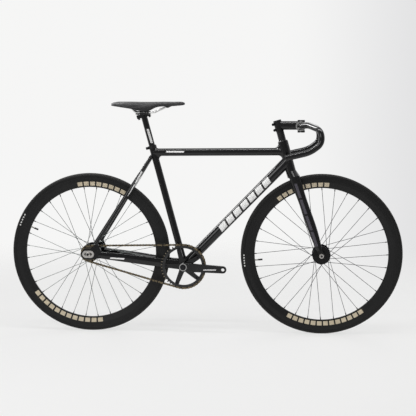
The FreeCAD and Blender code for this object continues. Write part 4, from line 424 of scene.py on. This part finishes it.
# %% Lay the bars
# A row gives its two ends in X and Z, half its height, its number of bars, their share of gap and their slant.
bar_rows = {"down_tube": ((0.0613, 0.4346), (0.2697, 0.6477), 0.0135, 7, 0.20, 0.25),
            "top_tube": ((-0.1613, 0.7580), (-0.0841, 0.7580), 0.0032, 1, 0.04, 0.3),
            "seat_stays": ((-0.2588, 0.6787), (-0.3186, 0.5715), 0.0026, 2, 0.08, 0.3),
            "chain_stays": ((-0.3919, 0.3180), (-0.3317, 0.3140), 0.0032, 1, 0.04, 0.3)}
for tube, row in bar_rows.items():
    dress(gloss_paint(tube + "_paint", row), tube)
blade_row = ((0.3732, 0.6328), (0.4639, 0.3715), 0.0055, 4, 0.10, 0.25)
dress(gloss_paint("fork_blades_paint", blade_row, (74, 71, 80)), "fork_blades")

# %% [markdown]
# ## Black alloy
# Stem, bar, seatpost and cranks are forged or drawn aluminium, polished, then dyed black in a bath. The
# bath leaves a fine even grain and a deep sheen, a little paler where hands and heels have rubbed. A few
# faces were cut after the dye and show the bare metal: the cheeks of the bar clamp and the rim round the
# crank bolt. They are the same finish with a mask of bare places, told by their distance from an axle.

# %% Dye the alloy parts
def black_alloy(name, gloss, bare=None, row=None):
    material, place = new_finish(name)
    cloud = speckle(place, 16.0, 5.0)
    blast = speckle(place, 2600.0, 1.0)
    rub = ease(speckle(stretched(place, (22.0, 30.0, 22.0)), 1.0, 6.0), 0.50, 0.74)
    colour = tint(cloud, shade(9, 9, 10), shade(19, 19, 21))
    colour = tint(rub * 0.35, colour, shade(40, 40, 42))
    rough = gloss + cloud * 0.05 - rub * 0.02
    looks = {"Specular IOR Level": 0.42, "Normal": dents(blast, 0.06, 0.00005)}
    if row:
        colour = tint(bars(place, *row), colour, tint(cloud, shade(206, 206, 205), shade(226, 226, 225)))
    if bare:
        mask = bare(place)
        colour = tint(mask, colour, tint(blast, shade(174, 174, 173), shade(204, 204, 202)))
        rough = rough + mask * 0.22
        looks["Metallic"] = mask
    return lay_finish(material, {"Base Color": colour, "Roughness": rough, **looks})


post_row = ((-0.2373, 0.8532), (-0.2200, 0.7930), 0.0045, 1, 0.04, 0.3)
dress(black_alloy("bright_black_alloy", 0.07), "handlebar", "left_crank")
dress(black_alloy("barred_black_alloy", 0.12, None, post_row), "seatpost")
dress(black_alloy("dull_black_alloy", 0.32), "seat_collar", "headset_cover", "headset_spacers", "top_cap",
      "rail_clamp_lower", "rail_clamp_upper", "front_nipples", "rear_nipples", "bottom_bracket_cups")

# %% Cut the bare faces
bar_clamp, crank_axle = (0.39394, 0.86330), (-0.0869, 0.2830)


def distance_from(place, axle):
    over, above = side_offset(place, axle)
    square = over * over + above * above
    return square.math_node("SQRT", square)


def clamp_cheeks(place):
    across = along(place, "Y")
    outer_faces = ease(across.math_node("ABSOLUTE", across), 0.0203, 0.0206)
    return outer_faces * (1.0 - ease(distance_from(place, bar_clamp), 0.0200, 0.0206))


def bolt_rim(place):
    outer_face = 1.0 - ease(along(place, "Y"), -0.0605, -0.0600)
    return between(distance_from(place, crank_axle), 0.0122, 0.0152, 0.0003) * outer_face


crank_row = ((-0.0039, 0.2728), (0.0510, 0.2735), 0.0024, 1, 0.04, 0.3)
dress(black_alloy("cut_black_alloy", 0.10, clamp_cheeks), "stem", "stem_faceplate")
dress(black_alloy("rimmed_black_alloy", 0.12, bolt_rim, crank_row), "right_crank")

# %% [markdown]
# ## Rims
# The rims are deep aluminium hoops, dyed black and turned, so their sides carry fine rings. Warm pale arcs
# of short blocks lie on the sides at the top and the bottom of each wheel as it stands. Rings and arcs both
# come from the distance to the axle and the angle round it, so they turn with the wheel.

# %% Turn the rims
axle_height = 0.334
axle_of = {"front": (0.4825, axle_height), "rear": (-0.4825, axle_height)}
arcs_of = {"rear": [(59.0, 101.0), (-145.0, -80.0)], "front": [(83.5, 129.0), (-119.0, -53.0)]}
block_degrees, arc_inner, arc_outer = 5.2, 0.2815, 0.2985
to_degrees = 180.0 / math.pi


def angle_round(place, axle):
    over, above = side_offset(place, axle)
    return above.math_node("ARCTAN2", above, over)


def lathe_rings(far, angle, fineness, breaks):
    return speckle(far.node("CombineXYZ", {}, {0: far * fineness, 1: angle * breaks}), 1.0, 2.0)


def rim_alloy(end):
    material, place = new_finish(end + "_rim_alloy")
    far, angle = distance_from(place, axle_of[end]), angle_round(place, axle_of[end])
    arcs = 0.0
    for start, finish in arcs_of[end]:
        arcs = blocks(angle * to_degrees, start, finish, round((finish - start) / block_degrees), 0.24) + arcs
    arcs = arcs * between(far, arc_inner, arc_outer, 0.0004)
    cloud = speckle(place, 14.0, 4.0)
    rings = lathe_rings(far, angle, 3200.0, 3.0)
    colour = tint(cloud, shade(17, 17, 17), shade(25, 25, 25))
    colour = tint(rings * 0.35, colour, shade(38, 38, 39))
    colour = tint(arcs, colour, tint(cloud, shade(196, 182, 156), shade(216, 204, 180)))
    return lay_finish(material, {"Base Color": colour, "Roughness": 0.30 + rings * 0.14,
                                 "Specular IOR Level": 0.25, "Normal": dents(rings, 0.10, 0.0001)})


for end in axle_of:
    dress(rim_alloy(end), end + "_rim")

# %% [markdown]
# ## Tyres and inner tubes
# A slick road tyre has a smooth wall with fine moulded rings and a tread with a shallow file pattern, a
# little greyer where it has met the road. Five plain white ticks mark one place on the wall. The inner
# tube hides in the rim, but its valve reaches out: a nickel stem with a black cap. Distance from the axle
# tells all of these apart.

# %% Mould the tyres
ticks_of = {"rear": (149.5, 160.0), "front": (-180.0, -170.0)}
tick_inner, tick_outer, tick_count = 0.3175, 0.3225, 5
tread_from, tread_full, file_pitch = 0.3278, 0.3292, 0.0024


def waves(value, pitch):
    return value.math_node("SINE", value * (2.0 * math.pi / pitch)) * 0.5 + 0.5


def tyre_rubber(end):
    material, place = new_finish(end + "_tyre_rubber")
    far, angle = distance_from(place, axle_of[end]), angle_round(place, axle_of[end])
    across = along(place, "Y")
    tread = ease(far, tread_from, tread_full)
    wall_rings = waves(far, 0.0011) * (1.0 - tread)
    lean_one = waves(angle * axle_height + across * 0.9, file_pitch)
    lean_two = waves(angle * axle_height - across * 0.9, file_pitch)
    file_cut = lean_one.math_node("MAXIMUM", lean_one, lean_two) * tread
    cloud = speckle(place, 24.0, 5.0)
    grit = ease(speckle(place, 1500.0, 1.0), 0.56, 0.72)
    colour = tint(cloud, shade(15, 15, 15), shade(24, 24, 24))
    colour = tint(tread * (0.25 + cloud * 0.35), colour, shade(52, 51, 49))
    colour = tint(grit * tread * 0.30, colour, shade(104, 101, 95))
    ticks = blocks(angle * to_degrees, *ticks_of[end], tick_count, 0.45)
    ticks = ticks * between(far, tick_inner, tick_outer, 0.0003)
    colour = tint(ticks, colour, tint(cloud, shade(210, 210, 207), shade(230, 230, 227)))
    height = wall_rings * 0.5 + file_cut + grit * 0.2
    return lay_finish(material, {"Base Color": colour, "Roughness": 0.50 + tread * 0.22 + cloud * 0.08,
                                 "Specular IOR Level": 0.25, "Normal": dents(height, 0.30, 0.0003)})


for end in axle_of:
    dress(tyre_rubber(end), end + "_tyre")

# %% Mould the inner tubes
valve_inner, valve_outer = 0.2612, 0.2780


def tube_rubber(end):
    material, place = new_finish(end + "_tube_rubber")
    far = distance_from(place, axle_of[end])
    cloud = speckle(place, 60.0, 3.0)
    stem = between(far, valve_inner, valve_outer, 0.0002)
    colour = tint(cloud, shade(24, 24, 25), shade(38, 38, 39))
    colour = tint(stem, colour, tint(cloud, shade(120, 119, 115), shade(160, 158, 152)))
    return lay_finish(material, {"Base Color": colour, "Metallic": stem, "Roughness": 0.55 - stem * 0.25,
                                 "Normal": dents(waves(far, 0.0008), 0.25, 0.0002)})


for end in axle_of:
    dress(tube_rubber(end), end + "_inner_tube")

# %% [markdown]
# ## Spokes and bare metal
# Spokes are drawn wire, so their grain runs along them; the rear ones are bare stainless and the front ones
# dark. Bearings, spindle and rails are ground steel, the axles and the small bolts are blacked in oil, and
# the nuts and dropout plates are polished. One function covers them: two colours, a roughness and a grain.

# %% Draw, grind and polish the metal
spoke_grain = (900.0, 2600.0, 900.0)


def bare_metal(name, low, high, rough, grain):
    material, place = new_finish(name)
    cloud = speckle(place, 35.0, 5.0)
    fine = speckle(stretched(place, grain), 1.0, 3.0)
    spots = ease(speckle(place, 700.0, 2.0), 0.64, 0.74)
    colour = tint(fine, shade(*low), shade(*high))
    colour = tint(spots * 0.30, colour, shade(low[0] * 0.5, low[1] * 0.47, low[2] * 0.42))
    return lay_finish(material, {"Base Color": colour, "Metallic": 1.0,
                                 "Roughness": rough + cloud * 0.12 + spots * 0.15,
                                 "Normal": dents(fine, 0.20, 0.00006)})


dress(bare_metal("bright_spoke", (86, 91, 89), (116, 121, 119), 0.28, spoke_grain), "rear_spokes")
dress(bare_metal("dark_spoke", (36, 36, 41), (58, 58, 63), 0.30, spoke_grain), "front_spokes")
dress(bare_metal("ground_steel", (140, 139, 136), (184, 183, 180), 0.28, (300.0, 4200.0, 300.0)),
      "front_hub_bearings", "rear_hub_bearings", "headset_bearings", "crank_spindle")
dress(bare_metal("rail_steel", (206, 206, 205), (236, 236, 235), 0.36, (90.0, 3000.0, 3000.0)),
      "saddle_rails")
dress(bare_metal("blacked_steel", (38, 38, 40), (60, 60, 62), 0.34, (1800.0, 1800.0, 1800.0)),
      "seat_collar_bolt", "stem_bolts", "top_cap_bolt", "chainring_bolts", "rail_clamp_bolts", "crank_bolts",
      "front_axle", "rear_axle")
dress(bare_metal("polished_steel", (190, 187, 183), (222, 219, 215), 0.22, (400.0, 400.0, 5200.0)),
      "dropout_face_plates", "rear_axle_nuts", "front_axle_nuts")

# %% [markdown]
# ## Hubs and sprockets
# Hub shells are turned on a lathe, which leaves rings along the axle. The chainring is milled from dyed
# plate, and its teeth lose their black where the chain runs. The cog and its ring are hardened steel that
# chain oil has browned. The wear is a mask on the distance from the spindle or the axle.

# %% Turn the hubs and wear the teeth
def turned_alloy(name):
    material, place = new_finish(name)
    rings = speckle(stretched(place, (40.0, 5200.0, 40.0)), 1.0, 2.0)
    cloud = speckle(place, 22.0, 4.0)
    colour = tint(cloud, shade(10, 10, 11), shade(19, 19, 20))
    colour = tint(rings * 0.5, colour, shade(36, 36, 38))
    return lay_finish(material, {"Base Color": colour, "Roughness": 0.24 + rings * 0.12,
                                 "Specular IOR Level": 0.2, "Normal": dents(rings, 0.15, 0.0001)})


def toothed(name, axle, worn_from, plate, worn, dyed):
    material, place = new_finish(name)
    far, angle = distance_from(place, axle), angle_round(place, axle)
    cloud = speckle(place, 120.0, 4.0)
    wear = ease(far + cloud * 0.004, worn_from, worn_from + 0.004)
    oil = ease(speckle(place, 260.0, 3.0), 0.45, 0.70)
    rings = lathe_rings(far, angle, 2400.0, 4.0)
    colour = tint(rings, shade(*plate), shade(*(level + 16 for level in plate)))
    colour = tint(wear, colour, tint(oil, shade(*worn), shade(60, 50, 38)))
    return lay_finish(material, {"Base Color": colour, "Metallic": wear if dyed else 1.0,
                                 "Roughness": 0.30 + rings * 0.10 + oil * wear * 0.2,
                                 "Normal": dents(rings, 0.12, 0.0001)})


dress(turned_alloy("turned_black_alloy"), "front_hub_shell", "rear_hub_shell")
dress(toothed("worn_chainring", crank_axle, 0.0900, (24, 24, 25), (150, 140, 122), True), "chainring")
dress(toothed("oiled_cog", axle_of["rear"], 0.0290, (96, 92, 84), (150, 138, 116), False),
      "rear_cog", "rear_lockring")

# %% [markdown]
# ## Chain
# The chain is plated in a brownish gold that oil and dust have dulled. The inner plates are the same steel,
# painted much darker than the outer ones as painted shade in their place between the outer plates, and the
# oil grime spreads a little further on them. A noise about the size of a pin spreads the grime, and a finer
# one gives the stamped plates their grain.

# %% Oil the chain
def chain_plates(name, clean, share):
    material, place = new_finish(name)
    oil = ease(speckle(place, 170.0, 4.0), 0.62 - share, 0.74 - share * 0.5)
    stamp = speckle(place, 1900.0, 2.0)
    colour = tint(stamp, shade(*clean), shade(clean[0] + 24, clean[1] + 22, clean[2] + 16))
    colour = tint(oil, colour, shade(30, 26, 21))
    return lay_finish(material, {"Base Color": colour, "Metallic": 1.0 - oil * 0.5,
                                 "Roughness": 0.30 + oil * 0.22 + stamp * 0.08,
                                 "Normal": dents(stamp, 0.20, 0.0001)})


dress(chain_plates("outer_chain_steel", (118, 107, 88), 0.16), "chain_outer_links")
# The inner plates' dark colour is painted shade between the outer plates; only the noise on them is oil.
dress(chain_plates("shaded_oily_chain_steel", (48, 43, 35), 0.26), "chain_inner_links")

# %% [markdown]
# ## Moulded plastic
# The saddle's shell and the plugs in the bar ends are moulded in black plastic. The mould was etched, so
# the skin has an even pebble a fraction of a millimetre across that scatters the light.

# %% Mould the plastic
material, place = new_finish("moulded_black_plastic")
pebble = speckle(place, 1500.0, 2.0)
cloud = speckle(place, 30.0, 3.0)
dress(lay_finish(material, {"Base Color": tint(cloud, shade(22, 22, 23), shade(34, 34, 35)),
                            "Roughness": 0.46 + pebble * 0.14, "Normal": dents(pebble, 0.30, 0.0002)}),
      "saddle_shell", "bar_end_plugs")

# %% [markdown]
# ## Saddle
# A racing saddle is a thin foam pad under a tight skin, glued over the shell. It could be sculpted, but the
# solid already has its line, so a copy is drawn in a little, remeshed evenly and swelled as cloth with air
# in it. The underside is pinned where glue would hold it, and no point may travel more than a cap.

# %% Draw in the saddle pad
draw_in, pad_voxel = 0.0005, 0.0020
pad = open_copy("saddle_pad", "saddle_cover")
bpy.ops.mesh.normals_make_consistent(inside=False)
bpy.ops.transform.shrink_fatten(value=-draw_in)
bpy.ops.object.mode_set(mode="OBJECT")
apply_steps(pad, [("REMESH", {"mode": "VOXEL", "voxel_size": pad_voxel}), ("SMOOTH", {"iterations": 3})])
print("saddle pad has", len(pad.data.vertices), "points before swelling")

# %% Let the air in
air_pressure, swell_frames, travel_cap = 4.0, 20, 0.0012
glued = pad.vertex_groups.new(name="glued")
glued.add([point.index for point in pad.data.vertices if point.normal.z < -0.1], 1.0, "REPLACE")
before = [point.co.copy() for point in pad.data.vertices]
swell = pad.modifiers.new("swell", "CLOTH")
swell.settings.use_pressure = True
swell.settings.uniform_pressure_force = air_pressure
swell.settings.effector_weights.gravity = 0.0
swell.settings.vertex_group_mass = glued.name
for step in range(1, swell_frames + 1):
    bpy.context.scene.frame_set(step)
bpy.ops.object.modifier_apply(modifier=swell.name)
bpy.context.scene.frame_set(1)
furthest = 0.0
for point, start in zip(pad.data.vertices, before):
    travel = point.co - start
    furthest = max(furthest, travel.length)
    if travel.length > travel_cap:
        point.co = start + travel * (travel_cap / travel.length)
print("furthest travel", round(furthest * 1000, 2), "mm, capped at", travel_cap * 1000, "mm")

# %% [markdown]
# ## Saddle skin
# The skin is a black synthetic leather, drawn over the pad in one piece: small irregular cells, a soft
# sheen, and a little shine worn in on the top where the rider sits. A noise could roughen it, but a pattern
# of cells, read by the distance to the nearest cell's edge, makes each cell a small flat pillow.

# %% Finish the saddle
apply_steps(pad, [("SUBSURF", {"levels": 1, "render_levels": 1})])
bpy.ops.object.shade_smooth()
material, place = new_finish("saddle_skin")
cells = place.node("TexVoronoi", {"feature": "DISTANCE_TO_EDGE"}, {"Vector": place, "Scale": 620.0})
grain = ease(cells, 0.0, 0.22)
cloud = speckle(place, 26.0, 5.0)
worn = ease(along(place, "Z"), 0.952, 0.963) * ease(cloud, 0.35, 0.65)
lay_finish(material, {"Base Color": tint(cloud, shade(23, 23, 25), shade(36, 36, 38)),
                      "Roughness": 0.58 - worn * 0.14 - grain * 0.06, "Sheen Weight": 0.08,
                      "Normal": dents(grain * 0.5, 0.35, 0.0004)})
pad.data.materials.clear()
pad.data.materials.append(material)
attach(pad, "saddle")
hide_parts("saddle_cover")
print("saddle pad has", len(pad.data.polygons), "faces")
